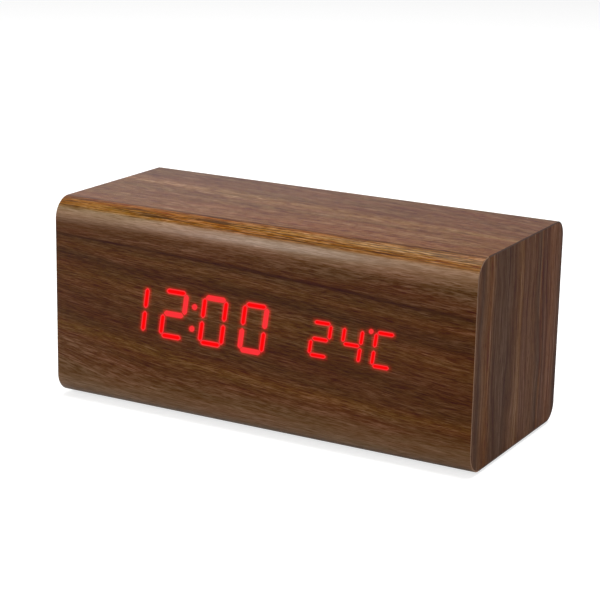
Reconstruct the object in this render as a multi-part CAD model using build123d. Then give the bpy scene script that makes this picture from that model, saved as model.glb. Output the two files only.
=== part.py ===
from build123d import *
from dataclasses import dataclass
import math
import os

# A desk clock in a veneered block: red figures shine through its front, and a
# black cover in its rear wall holds the buttons, the power socket and the cells.
# Sizes are in millimetres. X runs along the clock, the front faces -Y, Z is up,
# and the origin is on the table, under the middle of the case.

# Case
case_length = 150.0
case_depth = 66.0
case_height = 66.5
front_edge_radius = 7.0
rear_edge_radius = 5.5
veneer_thickness = 0.5
board_thickness = 6.0
cavity_corner_radius = 3.0
tongue_length = 3.0
tongue_gap = 0.2
veneer_seam_gap = 0.2
veneer_seam_share = 0.37

# Feet
pad_height = 1.0
pad_radius = 5.0
pad_inset = 16.0
pad_edge_bevel = 0.3

# Display window, and the light block behind it
display_rise = 1.1
window_length = 102.0
window_height = 24.0
window_corner_radius = 3.0
window_gap = 0.2
film_thickness = 0.3
block_flange_margin = 6.0
block_flange_side_margin = 1.0
block_flange_thickness = 1.5
well_floor_length = 2.8

# Figures: centreline sizes of the bars that make them
large_digit_width = 7.8
large_digit_height = 14.95
large_stroke = 1.8
large_digit_pitch = 14.68
first_large_digit_x = -43.96
small_digit_width = 6.08
small_digit_height = 10.6
small_stroke = 1.4
small_digit_pitch = 10.76
first_small_digit_x = 23.72
small_digit_rise = 0.35
middle_tip_gap = 0.45
corner_tip_gap = 0.25
lean_share = 0.139
colon_dot_radius = 0.95
colon_half_spread = 3.65
degree_dot_radius = 0.75
degree_dot_left = 4.2
degree_dot_rise = 5.3
large_figures = "1200"
small_figures = "24C"

# Display board
pcb_thickness = 1.6
pcb_corner_radius = 1.5
led_length = 1.6
led_width = 0.8
led_height = 0.6
driver_length = 18.0
driver_width = 7.5
driver_height = 2.3
driver_pin_count = 14
driver_x = -15.0
controller_length = 12.8
controller_width = 7.5
controller_height = 2.3
controller_pin_count = 10
pin_width = 0.4
pin_reach = 1.4
pin_height = 1.0
chip_standoff = 0.1

# Screws
wood_screw_radius = 1.3
wood_screw_head_radius = 2.5
wood_screw_head_height = 1.2
wood_screw_bite = 4.0
screw_gap = 0.05
screw_hole_gap = 0.25
screw_dome = 0.3
cross_share = 0.56
cross_slot_share = 0.12
cross_depth = 0.7
board_screw_radius = 0.9
board_screw_head_radius = 1.8
board_screw_head_height = 1.1
board_screw_bite = 4.5
display_screw_inset = 2.8

# Rear cover
cover_length = 108.0
cover_height = 48.0
cover_thickness = 2.5
cover_corner_radius = 5.0
cover_recess = 1.0
cover_gap = 0.25
cover_edge_radius = 0.4
ledge_width = 4.0
opening_corner_radius = 8.0
cover_screw_inset = 4.5
lip_gap = 0.3
lip_thickness = 1.5
lip_height = 2.5
boss_radius = 2.5

# Cells and their bay
cell_radius = 5.25
cell_length = 44.5
cell_nub_radius = 1.9
cell_nub_length = 1.0
cell_edge_bevel = 0.5
cell_pitch = 11.0
cell_gap = 0.1
bay_side_gap = 0.5
bay_wall = 1.6
bay_floor_thickness = 1.5
bay_centre_x = -15.5
divider_width = 1.2
divider_height = 2.5
plate_thickness = 0.4
plate_width = 8.6
plate_height = 9.5
tab_width = 3.0
tab_reach = 1.6
tab_gap = 0.2
spring_length = 4.5
spring_wire_radius = 0.25
spring_wire_sides = 6
spring_base_radius = 3.1
spring_tip_radius = 1.9
spring_turns = 2.75
spring_rise = 0.9
spring_tip_gap = 0.05
arcs_per_turn = 4

# Battery door
door_thickness = 1.6
door_lap = 1.2
door_gap = 0.2
door_corner_radius = 1.5
door_to_cells = 0.9
door_rib_width = 1.0
door_rib_height = 0.5
hook_width = 6.0
hook_spacing = 30.0
hook_thickness = 1.1
hook_reach = 1.4
hook_drop = 1.6
hook_side_gap = 0.3
hook_swing_room = 0.6
latch_width = 12.0
latch_length = 7.0
latch_slit = 0.8
latch_bead_radius = 0.35
latch_bead_gap = 0.1
thumb_ridge_height = 0.5
thumb_ridge_width = 0.8
thumb_ridge_pitch = 1.6
thumb_ridge_count = 3
finger_dish_radius = 8.0
finger_dish_rise = 3.0
finger_dish_depth = 1.2

# Buttons and the switches under them
button_radius = 3.5
button_proud = 0.8
button_edge_bevel = 0.4
button_gap = 0.2
button_flange_radius = 4.7
button_flange_thickness = 0.8
button_flange_gap = 0.1
button_travel = 0.5
button_stem_radius = 1.5
button_stem_length = 1.8
button_pitch = 11.0
first_button_inset = 6.5
button_row_inset = 11.0
button_collar_wall = 0.8
button_collar_gap = 0.3
switch_side = 6.0
switch_height = 3.5
switch_corner_radius = 0.4
plunger_radius = 1.7
plunger_proud = 0.9
plunger_seat = 1.0
plunger_gap = 0.1
plunger_end_gap = 0.3

# Main board and what stands on it
main_board_length = 35.5
main_board_height = 34.0
main_board_bay_gap = 2.5
main_board_hole_inset = 3.0
socket_inset = 7.5
socket_rise = 9.0
socket_width = 7.5
socket_height = 2.8
socket_wall = 0.3
socket_corner_cut = 0.7
socket_recess = 0.8
socket_hole_gap = 0.3
socket_base_height = 2.4
socket_tongue_width = 4.4
socket_tongue_thickness = 0.65
socket_tongue_setback = 0.6
buzzer_inset = 10.3
buzzer_rise = 6.5
buzzer_radius = 4.5
buzzer_height = 5.0
buzzer_port_radius = 0.9
buzzer_port_depth = 0.8
sound_hole_radius = 0.7
sound_ring_radius = 2.6
sound_ring_count = 6
microphone_inset = 18.0
microphone_rise = 6.0
microphone_radius = 2.3
microphone_height = 2.0
thermistor_inset = 18.0
thermistor_drop = 2.0
thermistor_radius = 1.3
thermistor_leg_radius = 0.25
thermistor_leg_spread = 1.2
thermistor_height = 5.6
vent_length = 7.0
vent_width = 1.0
vent_pitch = 2.2
vent_count = 3
crystal_length = 11.0
crystal_width = 4.6
crystal_height = 3.4
crystal_rim = 0.5
crystal_inset = 24.5
crystal_rise = 1.0
controller_inset = 9.0
controller_rise = 2.0
capacitor_radius = 2.5
capacitor_height = 6.5
capacitor_groove_height = 1.2
capacitor_groove_depth = 0.25
capacitor_pitch = 7.0
capacitor_inset = 19.5
capacitor_drop = 6.5

# Ribbon and leads
ribbon_width = 10.0
ribbon_thickness = 0.9
ribbon_bend_radius = 8.0
ribbon_inset = 17.5
ribbon_display_rise = 8.7
ribbon_main_rise = 7.0
plug_width = 12.5
plug_height = 6.0
plug_depth = 5.5
plug_wall = 1.0
plug_pocket_depth = 1.5
lead_radius = 0.65
lead_gap = 0.05
lead_screw_gap = 0.55
lead_bend_radius = 1.8
peg_width = 1.0
peg_height = 1.6
peg_count = 3

# Cuts run this far past the faces that they leave by
overrun = 1.0

# Levels worked out from the sizes above
case_end = case_length / 2
case_middle = pad_height + case_height / 2
front_face = -case_depth / 2
rear_face = case_depth / 2
core_front = front_face + veneer_thickness
front_wall_inside = core_front + board_thickness
core_rear = rear_face - veneer_thickness
rear_wall_inside = core_rear - board_thickness
board_outside = case_end - veneer_thickness
core_end = board_outside - board_thickness
display_middle = case_middle + display_rise
film_back = core_front + film_thickness
display_pcb_front = front_wall_inside + block_flange_thickness
display_pcb_back = display_pcb_front + pcb_thickness
block_flange_length = window_length + 2 * block_flange_side_margin
block_flange_height = window_height + 2 * block_flange_margin
cover_face = rear_face - cover_recess
cover_back = cover_face - cover_thickness
bay_length = cell_length + spring_length + 2 * plate_thickness
bay_height = 2 * (cell_pitch + cell_radius + bay_side_gap)
bay_left = bay_centre_x - bay_length / 2
bay_right = bay_centre_x + bay_length / 2
bay_bottom = case_middle - bay_height / 2
bay_top = case_middle + bay_height / 2
door_back = cover_face - door_thickness
cell_y = door_back - door_to_cells - cell_radius
bay_floor = cell_y - cell_radius - cell_gap
bay_back = bay_floor - bay_floor_thickness
recess_bottom = bay_bottom - door_lap
recess_top = bay_top + door_lap
plunger_top = (cover_back - button_flange_gap - button_flange_thickness
               - button_stem_length)
switch_top = plunger_top - plunger_proud
main_board_face = switch_top - switch_height
main_board_back = main_board_face - pcb_thickness
collar_end = switch_top + button_collar_gap
board_left = bay_right + bay_wall + main_board_bay_gap
board_right = board_left + main_board_length
board_bottom = case_middle - main_board_height / 2
board_top = case_middle + main_board_height / 2
button_height = board_top - button_row_inset
first_button_x = board_left + first_button_inset
socket_x = board_right - socket_inset
socket_middle = board_bottom + socket_rise
socket_mouth = cover_face - socket_recess
buzzer_x = board_left + buzzer_inset
buzzer_z = board_bottom + buzzer_rise
microphone_x = board_left + microphone_inset
microphone_z = board_bottom + microphone_rise
thermistor_x = board_left + thermistor_inset
thermistor_z = board_top - thermistor_drop
ribbon_x = board_left + ribbon_inset
lead_end_x = (board_left + main_board_hole_inset + board_screw_head_radius
              + lead_screw_gap + lead_radius)

# The bars of a figure, each between two corners of its centreline
bar_corners = {
    "a": ("top_left", "top_right"),
    "b": ("top_right", "middle_right"),
    "c": ("middle_right", "bottom_right"),
    "d": ("bottom_left", "bottom_right"),
    "e": ("middle_left", "bottom_left"),
    "f": ("top_left", "middle_left"),
    "g": ("middle_left", "middle_right"),
}
lit_bars = {"0": "abcdef", "1": "bc", "2": "abged", "4": "fgbc", "C": "adef"}


@dataclass
class Bar:
    """One bar of a figure, between the corners of its centreline in front view.

    Its pointed ends stop short of those corners by start_gap and end_gap.
    """
    start: tuple
    end: tuple
    start_gap: float
    end_gap: float
    stroke: float
    lit: bool


@dataclass
class Dot:
    """One round point of light in front view."""
    centre: tuple
    radius: float


def block(x0, x1, y0, y1, z0, z1):
    """A block between two opposite corners."""
    middle = Pos((x0 + x1) / 2, (y0 + y1) / 2, (z0 + z1) / 2)
    return middle * Box(x1 - x0, y1 - y0, z1 - z0)


def slab(outline, y0, y1):
    """An outline in front view (x across, z up), solid from depth y0 to depth y1."""
    return extrude(Plane.XZ.offset(-y1) * outline, amount=y1 - y0)


def plank(outline, x0, x1):
    """An outline in side view (y across, z up), solid from x0 to x1."""
    return extrude(Plane.YZ.offset(x0) * outline, amount=x1 - x0)


def rod(x, z, radius, y0, y1):
    """A round bar that runs from front to rear."""
    return slab(Pos(x, z) * Circle(radius), y0, y1)


def grid(x_places, z_places):
    """Every pair of an x place and a z place."""
    return [(x, z) for x in x_places for z in z_places]


def group(solids):
    """Separate solids that share a node."""
    return Compound(children=list(solids))


# Case

def case_outline(inset):
    """The case in side view, drawn in by an inset: its front edges are the rounder ones."""
    depth = case_depth - 2 * inset
    height = case_height - 2 * inset
    outline = Pos(0, case_middle) * Rectangle(depth, height)
    outline = fillet(outline.vertices().group_by(Axis.X)[0], front_edge_radius - inset)
    return fillet(outline.vertices().group_by(Axis.X)[-1], rear_edge_radius - inset)


def cavity_outline(inset):
    """The space inside the four walls in side view, drawn in by an inset."""
    walls = 2 * (veneer_thickness + board_thickness + inset)
    return Pos(0, case_middle) * RectangleRounded(
        case_depth - walls, case_height - walls, cavity_corner_radius)


def cover_outline(margin, radius_change=0.0):
    """The rear cover in rear view, with a margin round it."""
    return Pos(0, case_middle) * RectangleRounded(
        cover_length + 2 * margin, cover_height + 2 * margin,
        cover_corner_radius + margin + radius_change)


def opening_outline(inset):
    """The hole through the rear wall inside its ledge, drawn in by an inset."""
    return Pos(0, case_middle) * RectangleRounded(
        cover_length - 2 * (ledge_width + inset), cover_height - 2 * (ledge_width + inset),
        opening_corner_radius - inset)


def display_screw_places():
    reach_x = block_flange_length / 2 - display_screw_inset
    reach_z = block_flange_height / 2 - display_screw_inset
    return grid((-reach_x, reach_x), (display_middle - reach_z, display_middle + reach_z))


def cover_screw_places():
    reach_x = cover_length / 2 - cover_screw_inset
    reach_z = cover_height / 2 - cover_screw_inset
    return grid((-reach_x, reach_x), (case_middle - reach_z, case_middle + reach_z))


def make_case_core():
    """Four board walls: a window in front, and a stepped opening in the rear for the cover."""
    tube = plank(case_outline(veneer_thickness) - cavity_outline(0), -core_end, core_end)
    window = Pos(0, display_middle) * RectangleRounded(
        window_length, window_height, window_corner_radius)
    tube -= slab(window, front_face, front_wall_inside + overrun)
    tube -= slab(cover_outline(cover_gap), cover_back, rear_face + overrun)
    tube -= slab(opening_outline(0), rear_wall_inside - overrun, rear_face)
    pilot = wood_screw_radius + screw_gap
    for x, z in display_screw_places():
        tube -= rod(x, z, pilot, front_wall_inside - wood_screw_bite, front_wall_inside + overrun)
    for x, z in cover_screw_places():
        tube -= rod(x, z, pilot, rear_wall_inside - overrun, cover_back + overrun)
    return tube


def make_end_board(side):
    """An end wall with a step round its inner face that plugs into the four walls."""
    wall = plank(case_outline(veneer_thickness), core_end, board_outside)
    tongue = plank(cavity_outline(tongue_gap), core_end - tongue_length, core_end)
    board = wall + tongue
    return board if side > 0 else mirror(board, about=Plane.YZ)


def make_wrap_veneer(bars, dots):
    """One sheet folded round the four walls and the end boards' edges, butted underneath."""
    sheet = plank(case_outline(0) - case_outline(veneer_thickness), -case_end, case_end)
    seam_y = case_depth * veneer_seam_share
    sheet -= block(-case_length, case_length, seam_y - veneer_seam_gap / 2,
                   seam_y + veneer_seam_gap / 2, 0, pad_height + veneer_thickness + overrun)
    sheet -= slab(cover_outline(cover_gap), cover_back, rear_face + overrun)
    lights = [slab(bar_outline(bar), front_face - overrun, core_front + overrun)
              for bar in bars if bar.lit]
    lights += [rod(*dot.centre, dot.radius, front_face - overrun, core_front + overrun)
               for dot in dots]
    return sheet - lights


def make_end_veneer(side):
    """The sheet on an end board, inside the raw edge of the wrapped sheet."""
    sheet = plank(case_outline(veneer_thickness), board_outside, case_end)
    return sheet if side > 0 else mirror(sheet, about=Plane.YZ)


def make_foot_pads():
    pad = Pos(0, 0, pad_height / 2) * Cylinder(pad_radius, pad_height)
    pad = chamfer(pad.edges().group_by(Axis.Z)[0], pad_edge_bevel)
    reach_x = case_end - pad_inset
    reach_y = rear_face - pad_inset
    return group(Pos(x, y, 0) * pad for x, y in grid((-reach_x, reach_x), (-reach_y, reach_y)))


# Display

def digit_bars(x, z, width, height, stroke, figure):
    """The seven bars of one leaning figure, marked lit or dark."""
    lean = lean_share * height / 2
    corners = {
        "top_left": (x - width / 2 + lean, z + height / 2),
        "top_right": (x + width / 2 + lean, z + height / 2),
        "middle_left": (x - width / 2, z),
        "middle_right": (x + width / 2, z),
        "bottom_left": (x - width / 2 - lean, z - height / 2),
        "bottom_right": (x + width / 2 - lean, z - height / 2),
    }
    gaps = {corner: middle_tip_gap if "middle" in corner else corner_tip_gap
            for corner in corners}
    return [Bar(corners[start], corners[end], gaps[start], gaps[end], stroke,
                name in lit_bars[figure])
            for name, (start, end) in bar_corners.items()]


def all_bars():
    bars = []
    for place, figure in enumerate(large_figures):
        bars += digit_bars(first_large_digit_x + place * large_digit_pitch, display_middle,
                           large_digit_width, large_digit_height, large_stroke, figure)
    for place, figure in enumerate(small_figures):
        bars += digit_bars(first_small_digit_x + place * small_digit_pitch,
                           display_middle + small_digit_rise,
                           small_digit_width, small_digit_height, small_stroke, figure)
    return bars


def all_dots():
    """The colon between the hours and minutes, and the degree sign."""
    colon_x = first_large_digit_x + (len(large_figures) - 1) * large_digit_pitch / 2
    last_small_x = first_small_digit_x + (len(small_figures) - 1) * small_digit_pitch
    dots = [Dot((colon_x + lean_share * rise, display_middle + rise), colon_dot_radius)
            for rise in (-colon_half_spread, colon_half_spread)]
    degree = (last_small_x - degree_dot_left,
              display_middle + small_digit_rise + degree_dot_rise)
    return dots + [Dot(degree, degree_dot_radius)]


def bar_points(bar, length=None):
    """The six corners of a bar with pointed ends. A length shortens it about its middle."""
    start, end = Vector(*bar.start), Vector(*bar.end)
    along = (end - start).normalized()
    start, end = start + along * bar.start_gap, end - along * bar.end_gap
    middle = (start + end) / 2
    reach = (end - start).length / 2
    if length is not None:
        reach = min(reach, length / 2)
    tip = along * reach
    shoulder = along * max(reach - bar.stroke / 2, 0)
    across = along.rotate(Axis.Z, 90) * bar.stroke / 2
    return [middle - tip, middle - shoulder + across, middle + shoulder + across,
            middle + tip, middle + shoulder - across, middle - shoulder - across]


def bar_outline(bar):
    return make_face(Polyline(*bar_points(bar), close=True))


def make_diffuser_film():
    sheet = Pos(0, display_middle) * RectangleRounded(
        window_length - 2 * window_gap, window_height - 2 * window_gap, window_corner_radius)
    return slab(sheet, core_front, film_back)


def light_well(bar):
    """The space that carries one lamp's light forward, from a short slot to the whole bar."""
    front = [Vector(point.X, film_back, point.Y) for point in bar_points(bar)]
    back = [Vector(point.X, display_pcb_front, point.Y)
            for point in bar_points(bar, length=well_floor_length)]
    rings = [front, back]
    rings += [(front[i - 1], front[i], back[i], back[i - 1]) for i in range(len(front))]
    return Solid(Shell([make_face(Polyline(*ring, close=True)) for ring in rings]))


def make_segment_reflector(bars, dots):
    """A white block that plugs the window: each bar and dot has its own tapering well."""
    plug = Pos(0, display_middle) * RectangleRounded(
        window_length - 2 * window_gap, window_height - 2 * window_gap, window_corner_radius)
    flange = Pos(0, display_middle) * RectangleRounded(
        block_flange_length, block_flange_height, pcb_corner_radius)
    body = slab(plug, film_back, front_wall_inside)
    body += slab(flange, front_wall_inside, display_pcb_front)
    body -= [light_well(bar) for bar in bars]
    body -= [rod(*dot.centre, dot.radius, film_back, display_pcb_front) for dot in dots]
    body -= [rod(x, z, wood_screw_radius + screw_hole_gap, film_back, display_pcb_front)
             for x, z in display_screw_places()]
    return body


def make_lit_segments(bars, dots):
    """The figures as they show: the lit places of the face, flush with its front."""
    bars = [slab(bar_outline(bar), front_face, core_front) for bar in bars if bar.lit]
    dots = [rod(*dot.centre, dot.radius, front_face, core_front) for dot in dots]
    return group(bars + dots)


def make_display_board():
    sheet = Pos(0, display_middle) * RectangleRounded(
        block_flange_length, block_flange_height, pcb_corner_radius)
    board = slab(sheet, display_pcb_front, display_pcb_back)
    return board - [rod(x, z, wood_screw_radius + screw_hole_gap, display_pcb_front,
                        display_pcb_back) for x, z in display_screw_places()]


def make_led_chips(bars, dots):
    """One lamp on the board in the floor of each well, in line with its bar."""
    chip_y = display_pcb_front - led_height
    chips = []
    for bar in bars:
        start_tip, _, _, end_tip, _, _ = bar_points(bar)
        turn = math.degrees(math.atan2(end_tip.Y - start_tip.Y, end_tip.X - start_tip.X))
        middle = (start_tip + end_tip) / 2
        outline = Pos(middle.X, middle.Y) * Rot(0, 0, turn) * Rectangle(led_length, led_width)
        chips.append(slab(outline, chip_y, display_pcb_front))
    for dot in dots:
        outline = Pos(*dot.centre) * Rectangle(led_width, led_width)
        chips.append(slab(outline, chip_y, display_pcb_front))
    return group(chips)


def make_chip(x, z, y, facing, length, width, height, pin_count):
    """A moulded chip with a row of feet on each long side, standing on a board's face.

    facing is 1 where the board's face looks to the rear and -1 where it looks forward.
    """
    def depths(low, high):
        near, far = y + facing * low, y + facing * high
        return min(near, far), max(near, far)

    body = block(x - length / 2, x + length / 2, *depths(chip_standoff, height),
                 z - width / 2, z + width / 2)
    pitch = length / pin_count
    for pin in range(pin_count):
        pin_x = x + (pitch - length) / 2 + pin * pitch
        for side in (-1, 1):
            edge = z + side * width / 2
            tip = edge + side * pin_reach
            foot = block(pin_x - pin_width / 2, pin_x + pin_width / 2, *depths(0, pin_width),
                         min(edge + side * pin_width, tip), max(edge + side * pin_width, tip))
            leg = block(pin_x - pin_width / 2, pin_x + pin_width / 2, *depths(0, pin_height),
                        min(edge, edge + side * pin_width), max(edge, edge + side * pin_width))
            body += foot + leg
    return body


def make_screw(x, z, seat, direction, shank_radius, shank_length, head_radius, head_height):
    """A domed screw whose head sits on the face at depth seat.

    direction is the way the shank points along Y.
    """
    top = seat - direction * head_height
    shoulder = top + direction * screw_dome
    tip = seat + direction * shank_length
    half = Polyline((0, tip), (shank_radius, tip), (shank_radius, seat), (head_radius, seat),
                    (head_radius, shoulder), (head_radius - screw_dome, top), (0, top),
                    close=True)
    screw = Pos(x, 0, z) * revolve(make_face(half), Axis.Y)
    floor = top + direction * cross_depth
    past = top - direction * overrun
    arm = cross_share * head_radius
    half_slot = cross_slot_share * head_radius
    for reach_x, reach_z in ((arm, half_slot), (half_slot, arm)):
        screw -= block(x - reach_x, x + reach_x, min(floor, past), max(floor, past),
                       z - reach_z, z + reach_z)
    return screw


def make_display_screws():
    return group(make_screw(x, z, display_pcb_back, -1, wood_screw_radius,
                            pcb_thickness + block_flange_thickness + wood_screw_bite
                            - screw_hole_gap,
                            wood_screw_head_radius, wood_screw_head_height)
                 for x, z in display_screw_places())


# Rear cover and cells

def cell_heights():
    """The cells lie along X, one above another."""
    return [case_middle + step * cell_pitch for step in (-1, 0, 1)]


def hook_places():
    return [bay_centre_x - hook_spacing / 2, bay_centre_x + hook_spacing / 2]


def button_places():
    return [first_button_x + step * button_pitch for step in range(3)]


def board_hole_places():
    return grid((board_left + main_board_hole_inset, board_right - main_board_hole_inset),
                (board_bottom + main_board_hole_inset, board_top - main_board_hole_inset))


def tab_places():
    """Where the two outer contact plates reach through the bay's floor, as x and z."""
    low, _, high = cell_heights()
    return [(bay_left + plate_thickness / 2, high), (bay_right - plate_thickness / 2, low)]


def sound_hole_places():
    turns = [2 * math.pi * step / sound_ring_count for step in range(sound_ring_count)]
    return [(buzzer_x, buzzer_z)] + [(buzzer_x + sound_ring_radius * math.cos(turn),
                                      buzzer_z + sound_ring_radius * math.sin(turn))
                                     for turn in turns]


def socket_outline(margin):
    """The power socket's mouth: wider at its top than at its bottom."""
    half_width = socket_width / 2 + margin
    half_height = socket_height / 2 + margin
    cut = socket_corner_cut
    return Pos(socket_x, socket_middle) * make_face(Polyline(
        (-half_width, half_height), (half_width, half_height),
        (half_width, cut - half_height), (half_width - cut, -half_height),
        (cut - half_width, -half_height), (-half_width, cut - half_height), close=True))


def make_rear_cover():
    """The moulded cover: plate, lip, cell bay, board bosses, button collars and holes."""
    plate = slab(cover_outline(0), cover_back, cover_face)
    plate = fillet(plate.faces().sort_by(Axis.Y)[-1].edges(), cover_edge_radius)
    lip = opening_outline(lip_gap) - opening_outline(lip_gap + lip_thickness)
    cover = plate + slab(lip, cover_back - lip_height, cover_back)
    cover += block(bay_left - bay_wall, bay_right + bay_wall, bay_back, cover_back,
                   bay_bottom - bay_wall, bay_top + bay_wall)
    cover -= block(bay_left, bay_right, bay_floor, cover_face + overrun, bay_bottom, bay_top)
    for low, high in zip(cell_heights(), cell_heights()[1:]):
        ridge = (low + high) / 2
        cover += block(bay_left, bay_right, bay_floor, bay_floor + divider_height,
                       ridge - divider_width / 2, ridge + divider_width / 2)
    cover += [rod(x, z, boss_radius, main_board_face, cover_back)
              for x, z in board_hole_places()]
    cover += make_lead_pegs()
    bore = button_flange_radius + button_gap
    cover += [rod(x, button_height, bore + button_collar_wall, collar_end, cover_back)
              for x in button_places()]
    cover -= [rod(x, button_height, bore, collar_end - overrun, cover_back)
              for x in button_places()]

    recess = Pos(bay_centre_x, case_middle) * RectangleRounded(
        bay_length + 2 * door_lap, bay_height + 2 * door_lap, door_corner_radius)
    cover -= slab(recess, door_back, cover_face + overrun)
    dish_middle = recess_top + finger_dish_rise - finger_dish_radius
    cover -= rod(bay_centre_x, dish_middle, finger_dish_radius,
                 cover_face - finger_dish_depth, cover_face + overrun)
    slot_floor = door_back - hook_reach - hook_thickness - hook_swing_room
    for x in hook_places():
        left = x - hook_width / 2 - hook_side_gap
        right = x + hook_width / 2 + hook_side_gap
        cover -= block(left, right, slot_floor, cover_back,
                       recess_bottom - hook_drop - hook_side_gap, bay_bottom + overrun)
        cover -= block(left, right, cover_back - overrun, door_back,
                       recess_bottom, bay_bottom + overrun)
    for x, z in tab_places():
        cover -= block(x - plate_thickness / 2 - tab_gap, x + plate_thickness / 2 + tab_gap,
                       bay_back - overrun, bay_floor,
                       z - tab_width / 2 - tab_gap, z + tab_width / 2 + tab_gap)

    for x in button_places():
        cover -= rod(x, button_height, button_radius + button_gap,
                     cover_back - overrun, cover_face + overrun)
    cover -= slab(socket_outline(socket_hole_gap), cover_back - overrun, cover_face + overrun)
    cover -= [rod(x, z, sound_hole_radius, cover_back - overrun, cover_face + overrun)
              for x, z in sound_hole_places()]
    cover -= rod(microphone_x, microphone_z, sound_hole_radius,
                 cover_back - overrun, cover_face + overrun)
    for step in range(vent_count):
        vent_z = thermistor_z + (step - (vent_count - 1) / 2) * vent_pitch
        vent = Pos(thermistor_x, vent_z) * SlotOverall(vent_length, vent_width)
        cover -= slab(vent, cover_back - overrun, cover_face + overrun)
    for x, z in board_hole_places():
        cover -= rod(x, z, board_screw_radius + screw_gap,
                     main_board_face - overrun, main_board_face + board_screw_bite)
    for x, z in cover_screw_places():
        cover -= rod(x, z, wood_screw_radius + screw_hole_gap,
                     cover_back - overrun, cover_face + overrun)
        cover -= rod(x, z, wood_screw_head_radius + screw_hole_gap,
                     cover_face - wood_screw_head_height, cover_face + overrun)
    return cover


def make_lead_pegs():
    """Pairs of pegs on the back of the bay that keep the long lead in its place."""
    start, height = tab_places()[0]
    pegs = []
    for step in range(peg_count):
        x = start + (bay_right - start) * (step + 1 / 2) / peg_count
        for side in (-1, 1):
            z = height + side * (lead_radius + lead_gap + peg_width / 2)
            pegs.append(block(x - peg_width / 2, x + peg_width / 2,
                              bay_back - peg_height, bay_back,
                              z - peg_width / 2, z + peg_width / 2))
    return pegs


def make_rear_cover_screws():
    seat = cover_face - wood_screw_head_height
    return group(make_screw(x, z, seat, -1, wood_screw_radius, seat - rear_wall_inside,
                            wood_screw_head_radius, wood_screw_head_height)
                 for x, z in cover_screw_places())


def make_battery_door():
    """A flat door: two hooks under its lower edge, and a springy thumb latch above."""
    length = bay_length + 2 * (door_lap - door_gap)
    height = bay_height + 2 * (door_lap - door_gap)
    outline = Pos(bay_centre_x, case_middle) * RectangleRounded(
        length, height, door_corner_radius - door_gap)
    door = slab(outline, door_back, cover_face)
    door_bottom = recess_bottom + door_gap
    door_top = recess_top - door_gap

    for x in hook_places():
        left, right = x - hook_width / 2, x + hook_width / 2
        toe_face = door_back - hook_reach
        toe_back = toe_face - hook_thickness
        leg_top = door_bottom + hook_thickness
        door += block(left, right, toe_back, door_back, door_bottom, leg_top)
        door += block(left, right, toe_back, toe_face, recess_bottom - hook_drop, leg_top)

    for low, high in zip(cell_heights(), cell_heights()[1:]):
        x = bay_centre_x
        reach = bay_length / 2 - bay_wall
        rib_z = (low + high) / 2
        door += block(x - reach, x + reach, door_back - door_rib_height, door_back,
                      rib_z - door_rib_width / 2, rib_z + door_rib_width / 2)

    slit_floor = door_top - latch_length
    for side in (-1, 1):
        inner = bay_centre_x + side * latch_width / 2
        outer = inner + side * latch_slit
        door -= block(min(inner, outer), max(inner, outer), door_back - overrun,
                      cover_face + overrun, slit_floor, door_top + overrun)
    bead_z = recess_top - latch_bead_gap - latch_bead_radius
    bead_y = door_back + latch_bead_radius
    bead = Plane.YZ.offset(bay_centre_x - latch_width / 2) * Pos(bead_y, bead_z)
    door += extrude(bead * Circle(latch_bead_radius), amount=latch_width)
    for step in range(thumb_ridge_count):
        ridge_z = door_top - (step + 1) * thumb_ridge_pitch
        ridge_reach = latch_width / 2 - thumb_ridge_width
        door += block(bay_centre_x - ridge_reach, bay_centre_x + ridge_reach,
                      cover_face, cover_face + thumb_ridge_height,
                      ridge_z - thumb_ridge_width / 2, ridge_z + thumb_ridge_width / 2)
    return door


def cell_at(height, nub_side):
    """A dry cell along X whose nub touches the contact plate on one side."""
    plate_face = contact_face(nub_side)
    body_start = plate_face - nub_side * cell_nub_length
    body_end = plate_face - nub_side * cell_length
    half = Polyline((plate_face, 0), (plate_face, cell_nub_radius),
                    (body_start, cell_nub_radius), (body_start, cell_radius),
                    (body_end, cell_radius), (body_end, 0), close=True)
    cell = revolve(make_face(half), Axis.X)
    rims = cell.edges().filter_by(GeomType.CIRCLE).sort_by(SortBy.RADIUS)[-2:]
    return Pos(0, cell_y, height) * chamfer(rims, cell_edge_bevel)


def contact_face(side):
    """The inner face of the contact plate at one end of the bay."""
    return bay_centre_x + side * (bay_length / 2 - plate_thickness)


def nub_sides():
    """The cells are in series, so their nubs point left and right by turns."""
    return list(zip(cell_heights(), (1, -1, 1)))


def make_battery_cells():
    return group(cell_at(height, side) for height, side in nub_sides())


def make_contact_plate(side, heights, with_tab):
    """A sheet contact on an end wall of the bay, behind one cell or across two."""
    inner = contact_face(side)
    outer = inner + side * plate_thickness
    low, high = min(inner, outer), max(inner, outer)
    foot = bay_floor + cell_gap
    plate = block(low, high, foot, foot + plate_height,
                  min(heights) - plate_width / 2, max(heights) + plate_width / 2)
    if max(heights) > min(heights):
        ridge = (min(heights) + max(heights)) / 2
        plate -= block(low - overrun, high + overrun, foot - overrun,
                       bay_floor + divider_height + cell_gap,
                       ridge - divider_width / 2 - cell_gap, ridge + divider_width / 2 + cell_gap)
    if with_tab:
        plate += block(low, high, bay_back - tab_reach, foot,
                       heights[0] - tab_width / 2, heights[0] + tab_width / 2)
    return plate


def make_battery_plates():
    low, middle, high = cell_heights()
    return group([make_contact_plate(-1, [high], True),
                  make_contact_plate(-1, [low, middle], False),
                  make_contact_plate(1, [middle, high], False),
                  make_contact_plate(1, [low], True)])


def arc_pair(start, start_way, end, end_way):
    """Two arcs from one point to another that leave and arrive along the given ways."""
    gap = end - start
    a = 2 * (start_way.dot(end_way) - 1)
    b = -2 * gap.dot(start_way + end_way)
    c = gap.dot(gap)
    root = math.sqrt(b * b - 4 * a * c)
    reach = 2 * c / (-b + root)
    middle = (start + start_way * reach + end - end_way * reach) / 2
    first = Edge.make_tangent_arc(start, start_way, middle)
    return [first, Edge.make_tangent_arc(middle, first.tangent_at(1), end)]


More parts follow.
